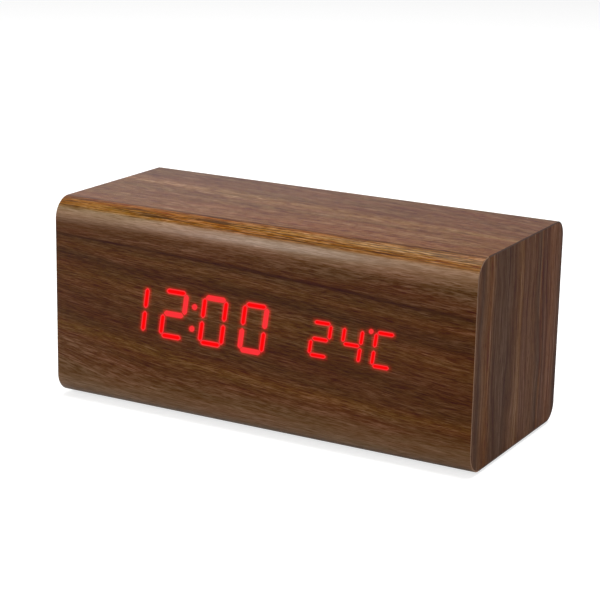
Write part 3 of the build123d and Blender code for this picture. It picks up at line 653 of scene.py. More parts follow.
@dataclass(frozen=True)
class WalnutWrap(Walnut):
    """The folded sheet's veneer, sliced flat, so its grain runs along the sheet.

    It reads the sheet_mm attribute: X is millimetres along the clock, and Y is
    millimetres round it, from the foot of the front face up and over the top. The
    slopes say how much the growth rings climb to the left at each height, and the
    bow how they curve. Below the settle rows the zones run level, and their pale grey
    colours there are a painted reflection of the floor on the lower rounding. In the
    sheen rows, at the two front roundings, the streaks are fainter, calmed under the
    painted reflection and sheen. One growth ring is dark, and one band of sapwood has
    stripes. The brow is buffed, and its zones are lightened and greyed as painted sheen.
    """
    # Painted reflection: the pale grey zones at -12 and -4, on the lower rounding. Painted sheen:
    # the lighter, greyer zones from 51 to 56.3, at the brow.
    zones: tuple[tuple[float, str], ...] = (
        (-12.0, "#6d5c52"), (-4.0, "#70543e"), (2.0, "#5e3e25"), (7.0, "#532f0f"),
        (10.5, "#5c390f"), (13.5, "#4c2a0a"), (22.0, "#492708"), (31.0, "#55320d"),
        (37.0, "#422307"), (41.0, "#54310f"), (44.6, "#492a0f"), (45.2, "#3c200a"),
        (45.9, "#4e2d12"), (51.0, "#583820"), (54.0, "#7a5a41"), (56.3, "#7c6048"),
        (56.7, "#724a1a"), (60.5, "#744b12"), (62.0, "#693f10"), (62.6, "#3c1e0a"),
        (63.3, "#633b12"), (86.0, "#5c380f"), (91.0, "#6b481f"), (96.0, "#56320d"),
        (118.0, "#563312"), (150.0, "#4f2f10"),
    )
    wave: Grain = Grain(95.0, 30.0, -1.0, 1.0, detail=2.0, seed=7.7)
    layers: tuple[Grain, ...] = (
        Grain(70.0, 2.8, 0.78, 1.24, detail=2.0, seed=3.1),
        Grain(16.0, 0.7, 0.68, 1.32, seed=11.7),
        Grain(4.0, 0.28, 0.34, 1.68, detail=2.0, seed=27.3),
    )
    pores: Grain = Grain(2.6, 0.26, 0.58, 1.0, limits=(0.31, 0.42), detail=1.0, seed=41.9)
    roughness: float = 0.36
    specular: float = 0.094
    contrast: float = 0.45
    # Painted sheen on the streaks, as a share of the colour's lightness.
    sheen_share: float = 0.5
    bump_height: float = 0.03
    steepest: float = 0.25
    slopes: tuple[tuple[float, float], ...] = (
        (0.0, 0.10), (0.07, 0.18), (0.145, 0.38), (0.22, 0.30), (0.34, 0.21), (0.41, 0.04),
        (0.47, 0.02), (0.56, 0.12), (0.64, 0.42), (0.74, 0.55), (0.90, 0.15), (1.0, 0.05),
    )
    # Below these rows the zones follow the edge, so the painted floor reflection runs along the
    # lower rounding.
    settle_rows: tuple[float, float] = (1.0, 12.0)
    bow: float = 0.0035
    bow_rows: tuple[float, float] = (40.0, 75.0)
    wave_slope: float = 0.08
    tint: Grain = Grain(40.0, 4.5, 0.0, 1.0, detail=2.0, seed=91.0)
    tints: tuple[tuple[float, str], ...] = ((0.0, "#ffefe8"), (1.0, "#f4fff6"))
    tint_rest: float = 0.5
    dark_rows: Rows = (44.3, 44.9, 45.3, 46.0)
    dark_depth: float = 0.5
    stripes: Grain = Grain(26.0, 0.45, 0.30, 1.2, limits=(0.40, 0.53), detail=2.0, seed=63.0)
    stripe_rows: Rows = (56.2, 57.4, 61.6, 63.4)
    stripe_ends: tuple[float, float] = (-15.0, 45.0)
    stripe_shares: tuple[float, float] = (1.0, 0.75)
    # The painted sheen on the streaks is stronger on the top, where more light is reflected.
    top_sheen_rows: tuple[float, float] = (60.0, 66.0)
    top_sheen_share: float = 1.15
    # The streaks and tint are calmed in these rows, under the painted floor reflection at the foot
    # and the painted sheen at the brow.
    foot_sheen_rows: Rows = (-20.0, -15.0, -2.0, 7.0)
    brow_sheen_rows: Rows = (49.0, 53.0, 56.0, 57.2)
    sheen_calm_share: float = 0.5
    buffed_rows: Rows = (51.5, 54.0, 56.5, 57.7)
    buffed_coat: float = 0.46
    buffed_roughness: float = 0.3
    glow_colour: str = "#ff1414"

    def level(self, tree: Tree, sheet: Socket, along: Socket, around: Socket) -> Node:
        """Work out which growth ring lies at each place.

        Args:
            tree: The node tree.
            sheet: The place on the sheet, in millimetres.
            along: Its part along the clock.
            around: Its part round it.

        Returns:
            The node that gives where the ring lies at the clock's middle.
        """
        share = remap(tree, around, (self.zones[0][0], self.zones[-1][0]))
        slope = add_node(tree, "FloatCurve", {"Value": share})
        points = slope.mapping.curves[0].points
        points[0].location, points[-1].location = self.slopes[0], self.slopes[-1]
        for place in self.slopes[1:-1]:
            points.new(*place)
        slope.mapping.update()
        climb = product(tree, slope, self.steepest)
        bow = remap(tree, around, self.bow_rows, (-self.bow, self.bow))
        bowed = worked(tree, "MULTIPLY_ADD", bow, along, 1.0)
        drifted = worked(tree, "ADD", around,
                         product(tree, climb, product(tree, along, bowed)))
        wave = product(tree, self.wave.shade(tree, sheet),
                       worked(tree, "DIVIDE", climb, self.wave_slope))
        return worked(tree, "ADD", drifted, wave)

    def build(self) -> bpy.types.Material:
        """Build the material.

        Returns:
            The finished material.
        """
        material, shader = new_material("walnut_veneer_wrap")
        tree = material.node_tree
        sheet = add_node(tree, "Attribute", attribute_name="sheet_mm").outputs["Vector"]
        split = add_node(tree, "SeparateXYZ", {"Vector": sheet})
        along, around = split.outputs["X"], split.outputs["Y"]
        level = self.level(tree, sheet, along, around)
        grain = add_node(tree, "CombineXYZ", {"X": along, "Y": level}).outputs[0]

        # Calm the streaks under the painted reflection at the foot and the painted sheen at the
        # brow.
        foot = band(tree, around, self.foot_sheen_rows)
        brow = band(tree, around, self.brow_sheen_rows)
        kept = remap(tree, worked(tree, "ADD", foot, brow), onto=(1.0, 1 - self.sheen_calm_share))
        shade, fine = self.figure(tree, grain)
        ring = worked(tree, "MULTIPLY_ADD", band(tree, level, self.dark_rows),
                      -self.dark_depth, 1.0)
        shade = calmed(tree, product(tree, shade, ring), 1.0, kept)

        # Painted reflection: below the settle rows the colour follows the edge, as the floor's
        # reflection would.
        settled = remap(tree, around, self.settle_rows)
        base = colour_ramp(tree, calmed(tree, level, around, settled), self.zones)
        tint = calmed(tree, self.tint.shade(tree, grain), self.tint_rest, kept)
        tinted = add_node(tree, "VectorMath", {0: base, 1: colour_ramp(tree, tint, self.tints)},
                          operation="MULTIPLY")
        strength = product(tree, band(tree, level, self.stripe_rows),
                           remap(tree, along, self.stripe_ends, self.stripe_shares))
        stripes = calmed(tree, self.stripes.shade(tree, grain), 1.0, strength)
        striped = scaled(tree, tinted, stripes)
        sheen_share = remap(tree, around, self.top_sheen_rows, (self.sheen_share, self.top_sheen_share))
        buffed = band(tree, around, self.buffed_rows)
        feed(tree, shader, self.skin(tree, striped, shade, sheen_share, fine) | {
            "Emission Color": linear(self.glow_colour),
            "Emission Strength": add_node(tree, "Attribute",
                                          attribute_name="glow").outputs["Fac"],
            "Coat Weight": product(tree, buffed, self.buffed_coat),
            "Coat Roughness": self.buffed_roughness})
        return material


@dataclass(frozen=True)
class WalnutEnd(Walnut):
    """The veneer on one of the clock's ends, with its grain upright.

    The zones are millimetres across the end, from the front to the rear.
    """
    zones: tuple[tuple[float, str], ...] = (
        (-33.0, "#55331a"), (-29.5, "#422715"), (-27.0, "#57361b"), (-22.0, "#694323"),
        (-19.0, "#4c2f1b"), (-10.0, "#482d1a"), (-4.5, "#533219"), (0.5, "#664323"),
        (3.0, "#54321d"), (12.0, "#5a381e"), (16.0, "#432816"), (17.4, "#6b4629"),
        (19.0, "#4e2d1a"), (26.0, "#643c20"), (30.0, "#5a361f"), (33.0, "#402515"),
    )
    wave: Grain = Grain(70.0, 26.0, -2.2, 2.2, detail=2.0, seed=17.0)
    layers: tuple[Grain, ...] = (
        Grain(90.0, 2.2, 0.76, 1.24, detail=2.0, seed=5.3),
        Grain(30.0, 0.8, 0.64, 1.36, seed=13.9),
        Grain(7.0, 0.34, 0.70, 1.28, seed=31.7),
    )
    pores: Grain = Grain(2.6, 0.26, 0.62, 1.0, limits=(0.31, 0.42), detail=1.0, seed=47.1)
    roughness: float = 0.5
    specular: float = 0.05
    contrast: float = 0.65
    # Painted sheen on the end's streaks, as a share of the colour's lightness.
    sheen_share: float = 1.0
    bump_height: float = 0.02
    side: Side = Side.RIGHT

    def build(self) -> bpy.types.Material:
        """Build the material, turned over for the left end.

        Returns:
            The finished material.
        """
        material, shader = new_material(f"walnut_veneer_{self.side.name.lower()}_end")
        tree = material.node_tree
        turn = self.side.value / MM
        place = add_node(tree, "Mapping", {
            "Vector": add_node(tree, "TexCoord").outputs["Object"],
            "Scale": (0.0, turn, turn)}).outputs[0]
        split = add_node(tree, "SeparateXYZ", {"Vector": place})
        across = worked(tree, "ADD", split.outputs["Y"], self.wave.shade(tree, place, True))
        grain = add_node(tree, "CombineXYZ", {"Y": across, "Z": split.outputs["Z"]}).outputs[0]
        shade, fine = self.figure(tree, grain, along_z=True)
        base = colour_ramp(tree, across, self.zones)
        feed(tree, shader, self.skin(tree, base, shade, self.sheen_share, fine))
        return material


@dataclass(frozen=True)
class Surface:
    """A plain made surface: one colour with fine mottling, specks and a textured skin.

    Most pieces of the clock are moulded, plated, sawn or dipped, and differ in
    colour, gloss, the size of their grain and how deep it is. A cloud of the
    mottling is so many grains wide, and the span is the mixed noise's useful range.
    """
    name: str
    colour: str
    roughness: float
    grain: float = 0.25
    depth: float = 0.02
    mottle: float = 0.12
    speck_colour: Optional[str] = None
    speck_size: float = 0.6
    speck_limits: tuple[float, float] = (0.62, 0.68)
    metallic: float = 0.0
    stretch: tuple[float, float, float] = (1.0, 1.0, 1.0)
    cloud: float = 14.0
    span: tuple[float, float] = (0.7, 1.3)
    grain_detail: float = 3.0
    cloud_detail: float = 2.0
    speck_detail: float = 1.0
    gloss_swing: float = 0.05
    bump_strength: float = 0.6

    def build(self) -> bpy.types.Material:
        """Build the material.

        Returns:
            The finished material.
        """
        material, shader = new_material(self.name)
        tree = material.node_tree
        place = add_node(tree, "TexCoord").outputs["Object"]
        scale = [1 / (self.grain * MM) / share for share in self.stretch]
        fine = noise(tree, place, scale, self.grain_detail)
        broad = noise(tree, place, [value / self.cloud for value in scale],
                      self.cloud_detail)
        mixed = worked(tree, "ADD", fine, broad)
        shade = remap(tree, mixed, self.span, (1 - self.mottle, 1 + self.mottle))
        rough = remap(tree, mixed, self.span, (self.roughness - self.gloss_swing,
                                               self.roughness + self.gloss_swing))
        colour = scaled(tree, linear(self.colour)[:3], shade)
        if self.speck_colour:
            speck = noise(tree, place, [1 / (self.speck_size * MM)] * 3,
                          self.speck_detail)
            colour = add_node(tree, "Mix", {
                "Factor": remap(tree, speck, self.speck_limits), 6: colour,
                7: linear(self.speck_colour)}, data_type="RGBA").outputs[2]
        feed(tree, shader, {
            "Base Color": colour, "Roughness": rough, "Metallic": self.metallic,
            "Normal": relief(tree, fine, self.bump_strength, self.depth)})
        return material


@dataclass(frozen=True)
class Light:
    """A lit place of the display: it shines evenly, with a dull film over it."""
    name: str
    colour: str
    strength: float = 1.0
    film_colour: str = "#180303"
    film_cell: float = 0.4
    film_detail: float = 2.0
    film_shades: tuple[float, float] = (0.6, 1.4)
    roughness: float = 0.6

    def build(self) -> bpy.types.Material:
        """Build the material.

        Returns:
            The finished material.
        """
        material, shader = new_material(self.name)
        tree = material.node_tree
        place = add_node(tree, "TexCoord").outputs["Object"]
        fibre = noise(tree, place, [1 / (self.film_cell * MM)] * 3, self.film_detail)
        shade = remap(tree, fibre, onto=self.film_shades)
        feed(tree, shader, {
            "Base Color": scaled(tree, linear(self.film_colour)[:3], shade),
            "Emission Color": linear(self.colour), "Emission Strength": self.strength,
            "Roughness": self.roughness, "Specular IOR Level": 0.0})
        return material


# Medium-density fibreboard, sawn: pale brown fibres pressed without direction.
FIBREBOARD = Surface("sawn_fibreboard", "#a88460", 0.85, grain=0.8, depth=0.05, mottle=0.2,
                     speck_colour="#7d5c3e")
# ABS, moulded in a spark-eroded tool: black with a fine, even, satin grain.
COVER_ABS = Surface("spark_eroded_abs", "#19191a", 0.52, grain=0.22, depth=0.035)
# ABS, moulded in a polished tool: black and a little glossier than the cover.
BUTTON_ABS = Surface("polished_abs", "#1e1e20", 0.34, grain=0.5, depth=0.006)
# Pad-printed ink on the raised marks: matt pale grey, thin enough to follow the grain.
LEGEND_INK = Surface("pad_printed_ink", "#c9c9c6", 0.6, grain=0.22, depth=0.02, mottle=0.08)
# Rubber, die-cut from sheet: dull black, with the sheet's open pores.
FOOT_RUBBER = Surface("die_cut_rubber", "#191919", 0.8, grain=0.5, depth=0.06, mottle=0.25)
# Polyester film with a ground face: milky, with nothing to see in it.
FILM = Surface("ground_polyester_film", "#d9d5d0", 0.7, grain=0.15, depth=0.01, mottle=0.04)
# Polycarbonate, moulded and filled white so that it bounces light.
WHITE_MOULDING = Surface("white_polycarbonate", "#e6e6e1", 0.45, grain=0.4, depth=0.01,
                         mottle=0.04)
# Glass-epoxy board under green solder mask: glossy, with the weave just showing.
SOLDER_MASK = Surface("green_solder_mask", "#1f5a34", 0.3, grain=0.45, depth=0.012,
                      mottle=0.1, speck_colour="#2f7a48", speck_size=1.4)
# Clear epoxy over a lamp die: pale yellow and glossy.
LAMP_RESIN = Surface("lamp_epoxy", "#e3dba8", 0.2, grain=0.3, depth=0.004, mottle=0.05)
# Epoxy moulding compound: dull near-black with a fine filler.
CHIP_EPOXY = Surface("chip_moulding_epoxy", "#202022", 0.6, grain=0.15, depth=0.01,
                     speck_colour="#303033", speck_size=0.3)
# Carbon steel with bright zinc plate: pale grey metal with a faint haze.
ZINC_PLATE = Surface("zinc_plated_steel", "#b9bab6", 0.32, grain=0.5, depth=0.004,
                     mottle=0.08, metallic=1.0)
# Carbon steel with black oxide: almost black metal with an oily sheen.
BLACK_OXIDE = Surface("black_oxide_steel", "#2e2d2c", 0.42, grain=0.4, depth=0.006,
                      mottle=0.15, metallic=1.0)
# Spring steel with bright nickel plate: warm pale metal, nearly a mirror.
NICKEL_PLATE = Surface("nickel_plated_steel", "#cfc9bd", 0.2, grain=0.8, depth=0.003,
                       mottle=0.06, metallic=1.0)
# PVC, extruded round wire: smooth and slightly glossy.
RED_PVC = Surface("red_pvc", "#b3141a", 0.35, grain=0.6, depth=0.005)
BLACK_PVC = Surface("black_pvc", "#161616", 0.35, grain=0.6, depth=0.005)
# Nylon, moulded natural: creamy white and slightly waxy.
NATURAL_NYLON = Surface("natural_nylon", "#e2ddcb", 0.42, grain=0.5, depth=0.008, mottle=0.05)
# Nylon, moulded black for the switches and buzzer.
BLACK_NYLON = Surface("black_nylon", "#242425", 0.48, grain=0.3, depth=0.012)
# Dipped epoxy bead: dark brown and glossy.
DIPPED_BEAD = Surface("dipped_epoxy_bead", "#3b2418", 0.22, grain=0.7, depth=0.01)
# PET sleeve, shrunk on aluminium: dark blue and smooth.
BLUE_SLEEVE = Surface("blue_shrunk_sleeve", "#1d2746", 0.3, grain=0.8, depth=0.004)
# PVC ribbon: grey, with each of its wires standing out across its width.
RIBBON_PVC = Surface("ribbon_pvc", "#8f8f92", 0.45, grain=1.27, depth=0.06,
                     stretch=(1.0, 40.0, 40.0))
# PVC sleeve, shrunk on a dry cell: dark green and glossy.
CELL_SLEEVE = Surface("green_cell_sleeve", "#1d4a3a", 0.28, grain=0.8, depth=0.004)
# The same sleeve where it is printed pale, round its positive end.
CELL_BAND = Surface("pale_cell_band", "#c9ccc8", 0.28, grain=0.8, depth=0.004, mottle=0.04)
# Nickel-plated can of a dry cell, drawn and crimped.
CELL_CAN = Surface("drawn_cell_can", "#c4c2bb", 0.28, grain=0.6, depth=0.004, mottle=0.06,
                   metallic=1.0)
# Edge of the veneer where it was trimmed, at the front: sawn wood, paler than its lacquered face,
# its paleness partly a painted highlight along the front edge.
RAW_EDGE_AND_HIGHLIGHT = Surface("trimmed_edge_and_highlight", "#7d5c42", 0.7, grain=0.3, depth=0.02,
                      mottle=0.25, speck_colour="#4a3324", speck_size=0.5,
                      stretch=(1.0, 1.0, 6.0))
# The same edge along the top and the rear, behind the front rounding: dark reddish brown.
DARK_REAR_EDGE = Surface("dark_rear_veneer_edge", "#3a2015", 0.75, grain=0.3, depth=0.02,
                         mottle=0.3)
# Red light through the veneer: pure red inside each bar, a lighter red round its rim.
RED_CORE = Light("red_light_core", "#ff0508")
RED_RIM = Light("red_light_rim", "#fa3338")

FINISHED_NODES: dict[Surface, tuple[str, ...]] = {
    FIBREBOARD: ("case_core", "left_end_board", "right_end_board"),
    FOOT_RUBBER: ("foot_pads",), FILM: ("diffuser_film",),
    WHITE_MOULDING: ("segment_reflector",), SOLDER_MASK: ("display_board", "main_board"),
    LAMP_RESIN: ("led_chips",), COVER_ABS: ("rear_cover", "battery_door"),
    CHIP_EPOXY: ("display_driver_chip", "controller_chip", "power_socket_tongue"),
    ZINC_PLATE: ("display_screws", "main_board_screws"), BLACK_OXIDE: ("rear_cover_screws",),
    NICKEL_PLATE: ("battery_plates", "battery_springs", "power_socket_shell", "microphone",
                   "crystal"),
    RED_PVC: ("red_battery_lead",), BLACK_PVC: ("black_battery_lead",),
    BUTTON_ABS: ("set_button", "up_button", "down_button"),
    BLACK_NYLON: ("set_plunger", "up_plunger", "down_plunger", "switch_housings", "buzzer"),
    DIPPED_BEAD: ("thermistor",), BLUE_SLEEVE: ("smoothing_capacitors",),
    NATURAL_NYLON: ("ribbon_plugs",), RIBBON_PVC: ("ribbon_cable",),
}


# Figures

@dataclass(frozen=True)
class Bar:
    """One lit bar of a figure, in front view: its place, size and lean.

    The place and the upright are those before the figure leans about the height of
    its own middle. A bar that is lit evenly has no deeper red core.
    """
    x: float
    z: float
    length: float
    width: float
    upright: bool
    middle: float
    lean: float
    even: bool = False

    def place(self) -> Matrix:
        """Work out where a level bar modelled at the origin goes.

        Returns:
            The matrix that turns, moves and leans it, in metres.
        """
        lean = Matrix.Identity(4)
        lean[0][2] = self.lean
        lean[0][3] = -self.lean * self.middle * MM
        turn = Matrix.Rotation(math.pi / 2 if self.upright else 0.0, 4, "Y")
        return lean @ Matrix.Translation(metres(self.x, 0, self.z)) @ turn

    def distance(self, places: np.ndarray) -> np.ndarray:
        """Measure how far places lie outside the bar.

        Args:
            places: X and Z of each place, in millimetres.

        Returns:
            The distances, negative inside the bar.
        """
        x = places[:, 0] - self.lean * (places[:, 1] - self.middle) - self.x
        z = places[:, 1] - self.z
        run, side = (z, x) if self.upright else (x, z)
        past = np.maximum(np.abs(run) - (self.length - self.width) / 2, 0)
        return np.hypot(past, side) - self.width / 2


@dataclass(frozen=True)
class FigureRow:
    """A row of figures of one size, and which of its bars are lit evenly."""
    text: str
    first_x: float
    pitch: float
    width: float
    height: float
    stroke: float
    rise: float
    even: dict[int, str]

    def figure_x(self, place: float) -> float:
        """Work out where a figure stands in the row.

        Args:
            place: Its place, counted from 0.

        Returns:
            Its middle's X, in millimetres.
        """
        return self.first_x + place * self.pitch


@dataclass(frozen=True)
class BarShape:
    """The rounding of a bar's corners: its size as a share of the width, and its curve."""
    share: float
    steps: int
    profile: float


@dataclass
class Figures:
    """The lit figures: hours and minutes in large bars, temperature in small ones."""
    display_rise: float = 1.1
    large: FigureRow = FigureRow("1200", -43.96, 14.68, 7.8, 14.95, 1.8, 0.0,
                                 {1: "bg", 2: "a", 3: "bde"})
    small: FigureRow = FigureRow("24C", 23.72, 10.76, 6.08, 10.6, 1.4, 0.35, {})
    middle_gap: float = 0.45
    corner_gap: float = 0.22
    lean: float = 0.139
    colon_radius: float = 0.98
    colon_half_spread: float = 3.65
    degree_radius: float = 0.8
    degree_left: float = 4.2
    degree_rise: float = 5.3
    bar_shape: BarShape = BarShape(0.46, 3, 0.33)
    dot_shape: BarShape = BarShape(0.495, 7, 0.5)
    rim_share: float = 0.19

    corners = {
        "a": ("top_left", "top_right"), "b": ("middle_right", "top_right"),
        "c": ("bottom_right", "middle_right"), "d": ("bottom_left", "bottom_right"),
        "e": ("bottom_left", "middle_left"), "f": ("middle_left", "top_left"),
        "g": ("middle_left", "middle_right"),
    }
    lit = {"0": "abcdef", "1": "bc", "2": "abged", "4": "fgbc", "C": "adef"}
    uprights = "bcef"

    def __post_init__(self) -> None:
        """Work out the face's depths and the display's middle from the frame."""
        low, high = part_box("wrap_veneer")
        self.front = low.y / MM
        self.middle = (low.z + high.z) / 2 / MM + self.display_rise
        self.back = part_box("lit_segments")[1].y / MM
        self.reds = (RED_RIM.build(), RED_CORE.build())

    def figure_bars(self, row: FigureRow, place: int) -> list[Bar]:
        """List the lit bars of one figure.

        Args:
            row: The figure's row.
            place: Its place in the row.

        Returns:
            Its lit bars.
        """
        x, z = row.figure_x(place), self.middle + row.rise
        across = {"left": x - row.width / 2, "right": x + row.width / 2}
        up = {"top": z + row.height / 2, "middle": z, "bottom": z - row.height / 2}
        bars = []
        for name in self.lit[row.text[place]]:
            upright = name in self.uprights
            ends = []
            for corner, way in zip(self.corners[name], (1, -1)):
                level, column = corner.split("_")
                gap = self.middle_gap if level == "middle" and upright else self.corner_gap
                ends.append((up[level] if upright else across[column]) + way * gap)
            start, end = ends
            level, column = self.corners[name][0].split("_")
            middle = (start + end) / 2
            bars.append(Bar(across[column] if upright else middle,
                            middle if upright else up[level], end - start, row.stroke, upright,
                            z, self.lean, name in row.even.get(place, "")))
        return bars

    def bars(self) -> list[Bar]:
        """List every lit bar.

        Returns:
            The bars, large figures first.
        """
        return [bar for row in (self.large, self.small) for place in range(len(row.text))
                for bar in self.figure_bars(row, place)]

    def dots(self) -> list[Bar]:
        """List the colon and the degree sign, as bars as long as they are wide.

        Returns:
            The three dots.
        """
        colon_x = self.large.figure_x((len(self.large.text) - 1) / 2)
        degree_x = self.small.figure_x(len(self.small.text) - 1) - self.degree_left
        degree_z = self.middle + self.small.rise + self.degree_rise
        places = [(colon_x, self.middle + rise, self.colon_radius, self.middle)
                  for rise in (-self.colon_half_spread, self.colon_half_spread)]
        places.append((degree_x, degree_z, self.degree_radius, degree_z))
        return [Bar(x, z, 2 * radius, 2 * radius, False, middle, self.lean, True)
                for x, z, radius, middle in places]

    def model_bar(self, bar: Bar, front: float, back: float, rim: bool) -> Piece:
        """Model one level bar at the origin, with its corners bevelled.

        Args:
            bar: The bar whose size it takes.
            front: How deep its front face lies, in millimetres.
            back: How deep its back face lies.
            rim: Whether its front face gets a rim.

        Returns:
            The modelled bar.
        """
        shape = self.bar_shape if bar.length > bar.width else self.dot_shape
        half_length, half_width = bar.length / 2, bar.width / 2
        piece = new_block("bar", (-half_length, front, -half_width),
                          (half_length, back, half_width))
        bevel(piece, runs_deep, bar.width * shape.share, shape.steps, shape.profile)
        if rim:
            with editing(piece, Pick.FACE, lambda face: face.normal.y < -ALIGNED):
                bpy.ops.mesh.inset(thickness=self.rim_share * bar.width * MM)
            for face in piece.data.polygons:
                inner = face.normal.y < -ALIGNED and len(face.vertices) > 4
                face.material_index = int(inner and not bar.even)
        return piece

    def model_all(self, name: str, front: float, back: float, rim: bool) -> Piece:
        """Model every bar and dot, each distinct size once, and join the copies.

        Args:
            name: The joined object's name.
            front: How deep the front faces lie, in millimetres.
            back: How deep the back faces lie.
            rim: Whether the front faces get a rim.

        Returns:
            The joined object.
        """
        patterns: dict[tuple, Piece] = {}
        copies = []
        for bar in self.bars() + self.dots():
            kind = (round(bar.length, 3), bar.width, bar.even)
            if kind not in patterns:
                patterns[kind] = self.model_bar(bar, front, back, rim)
                dress(patterns[kind], *self.reds)
            copies.append(copy_of(patterns[kind], bar.place()))
        for pattern in patterns.values():
            bpy.data.objects.remove(pattern)
        return join_all(name, copies)

    def build(self) -> Piece:
        """Build the lit bars, flush with the front of the veneer.

        Returns:
            The finished piece.
        """
        lights = self.model_all("lit_figures", self.front, self.back, True)
        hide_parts("lit_segments")
        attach(lights, "clock_case")
        return lights


@dataclass
class WrapSheet:
    """The veneer sheet folded round the case, with its raw edge at each end."""
    figures: Figures
    front_radius: float = 7.0
    rear_radius: float = 5.5
    thickness: float = 0.5
    bend_steps: int = 18
    edge_ease: float = 0.12
    edge_steps: int = 2
    seam_gap: float = 0.2
    seam_share: float = 0.37
    opening_length: float = 108.5
    opening_height: float = 48.5
    opening_radius: float = 5.25
    opening_steps: int = 8
    glow_margin: float = 2.5
    glow_end_margins: tuple[float, float] = (5.0, 6.25)
    glow_depth: float = 0.75
    glow_cell: float = 0.45
    glow_reach: float = 0.3
    glow_strength: float = 0.34
    smooth_degrees: float = 30.0
    raw_normal: float = 0.6
    overrun: float = 1.0

    def __post_init__(self) -> None:
        """Take the sheet's outer box from the frame, in millimetres."""
        low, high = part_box("wrap_veneer")
        self.low, self.high = Vector(low) / MM, Vector(high) / MM
        self.middle = (self.low.z + self.high.z) / 2
        self.front_low = self.low.z + self.front_radius
        self.front_high = self.high.z - self.front_radius
        self.top_start = self.low.y + self.front_radius
        self.top_end = self.high.y - self.rear_radius
        self.rear_low = self.low.z + self.rear_radius
        self.rear_high = self.high.z - self.rear_radius
        self.seam_y = (self.high.y - self.low.y) * self.seam_share

    def bend(self, sheet: Piece, y: float, radius: float) -> None:
        """Round the two long edges on one side of the box.

        Args:
            sheet: The box.
            y: Which side, as its depth in millimetres.
            radius: The radius of the bend, in millimetres.
        """
        bevel(sheet, lambda edge: reach(edge, 0) > CLOSE and all(
            abs(vert.co.y - y * MM) < CLOSE for vert in edge.verts), radius, self.bend_steps)

    def on_front(self, part: Part) -> bool:
        """Tell whether a face or edge lies in the flat front.

        Args:
            part: The face or edge.

        Returns:
            True if all its corners lie in the front plane.
        """
        return all(abs(vert.co.y - self.low.y * MM) < CLOSE for vert in part.verts)

    def divide_display(self, sheet: Piece) -> None:
        """Divide the front round the figures into small cells that can carry a glow.

        Args:
            sheet: The unfinished sheet.
        """
        columns = [bar.x for bar in self.figures.bars()]
        large = self.figures.large
        half = (large.height + large.stroke) / 2 + self.glow_margin
        left, right = self.glow_end_margins
        spans = {0: (min(columns) - left, max(columns) + right),
                 2: (self.figures.middle - half, self.figures.middle + half)}
        for axis, ends in spans.items():
            way = [float(place == axis) for place in range(3)]
            for end in ends:
                with editing(sheet, Pick.FACE, lambda face: (
                        self.on_front(face) and face.normal.y < -ALIGNED)):
                    bpy.ops.mesh.bisect(plane_co=[end * MM * share for share in way],
                                        plane_no=way)
        for axis, (start, end) in spans.items():
            with editing(sheet, Pick.EDGE, lambda edge: (
                    self.on_front(edge) and reach(edge, axis) > CLOSE and all(
                        low * MM - CLOSE <= vert.co[side] <= high * MM + CLOSE
                        for vert in edge.verts for side, (low, high) in spans.items()))):
                bpy.ops.mesh.subdivide(number_cuts=round((end - start) / self.glow_cell) - 1)

    def rear_cutter(self) -> Piece:
        """Model the shape of the hole for the rear cover.

        Returns:
            The cutter.
        """
        half_length, half_height = self.opening_length / 2, self.opening_height / 2
        cutter = new_block("rear_cutter",
                           (-half_length, self.high.y - 3 * self.thickness,
                            self.middle - half_height),
                           (half_length, self.high.y + self.thickness,
                            self.middle + half_height))
        bevel(cutter, runs_deep, self.opening_radius, self.opening_steps)
        return cutter

    def sheet_places(self, points: np.ndarray) -> np.ndarray:
        """Work out where points lie on the sheet before it was folded.

        Args:
            points: X, Y and Z of each point, in millimetres.

        Returns:
            Millimetres along the clock and round it, and a zero, for each point.
        """
        y, z = points[:, 1], points[:, 2]
        front_bend, rear_bend = (math.pi / 2 * radius
                                 for radius in (self.front_radius, self.rear_radius))
        front = self.front_high - self.front_low
        top = front + front_bend
        rear_top = top + self.top_end - self.top_start
        rear = rear_top + rear_bend
        rear_foot = rear + self.rear_high - self.rear_low
        ahead, behind = y < self.top_start, y > self.top_end
        flat = ~ahead & ~behind
        sections = (
            (ahead & (z > self.front_high), front + self.front_radius
             * np.arctan2(z - self.front_high, self.top_start - y)),
            (ahead & (z < self.front_low), -self.front_radius
             * np.arctan2(self.front_low - z, self.top_start - y)),
            (ahead, z - self.front_low),
            (flat & (z > self.middle), top + y - self.top_start),
            (flat & (y < self.seam_y), -front_bend - (y - self.top_start)),
            (flat, rear_foot + rear_bend + self.top_end - y),
            (behind & (z > self.rear_high), rear_top + self.rear_radius
             * np.arctan2(y - self.top_end, z - self.rear_high)),
            (behind & (z < self.rear_low), rear_foot + self.rear_radius
             * np.arctan2(self.rear_low - z, y - self.top_end)),
            (behind, rear + self.rear_high - z),
        )
        around = np.select(*zip(*sections))
        return np.column_stack((points[:, 0], around, np.zeros(len(points))))

    def glow(self, points: np.ndarray) -> np.ndarray:
        """Work out how much red light reaches each point of the veneer.

        Args:
            points: X, Y and Z of each point, in millimetres.

        Returns:
            The share of the light for each point.
        """
        near = np.min([bar.distance(points[:, [0, 2]])
                       for bar in self.figures.bars() + self.figures.dots()], axis=0)
        share = self.glow_strength * np.exp(-np.maximum(near, 0) / self.glow_reach)
        return np.where(points[:, 1] < self.low.y + self.glow_depth, share, 0.0)

    def mark(self, sheet: Piece) -> None:
        """Write the attributes that the veneer's material reads.

        Args:
            sheet: The finished mesh.
        """
        mesh = sheet.data
        flat = np.empty(3 * len(mesh.vertices), np.float32)
        mesh.vertices.foreach_get("co", flat)
        points = flat.reshape(-1, 3).astype(float) / MM
        places = mesh.attributes.new("sheet_mm", "FLOAT_VECTOR", "POINT")
        places.data.foreach_set("vector", self.sheet_places(points).astype(np.float32).ravel())
        glow = mesh.attributes.new("glow", "FLOAT", "POINT")
        glow.data.foreach_set("value", self.glow(points).astype(np.float32))

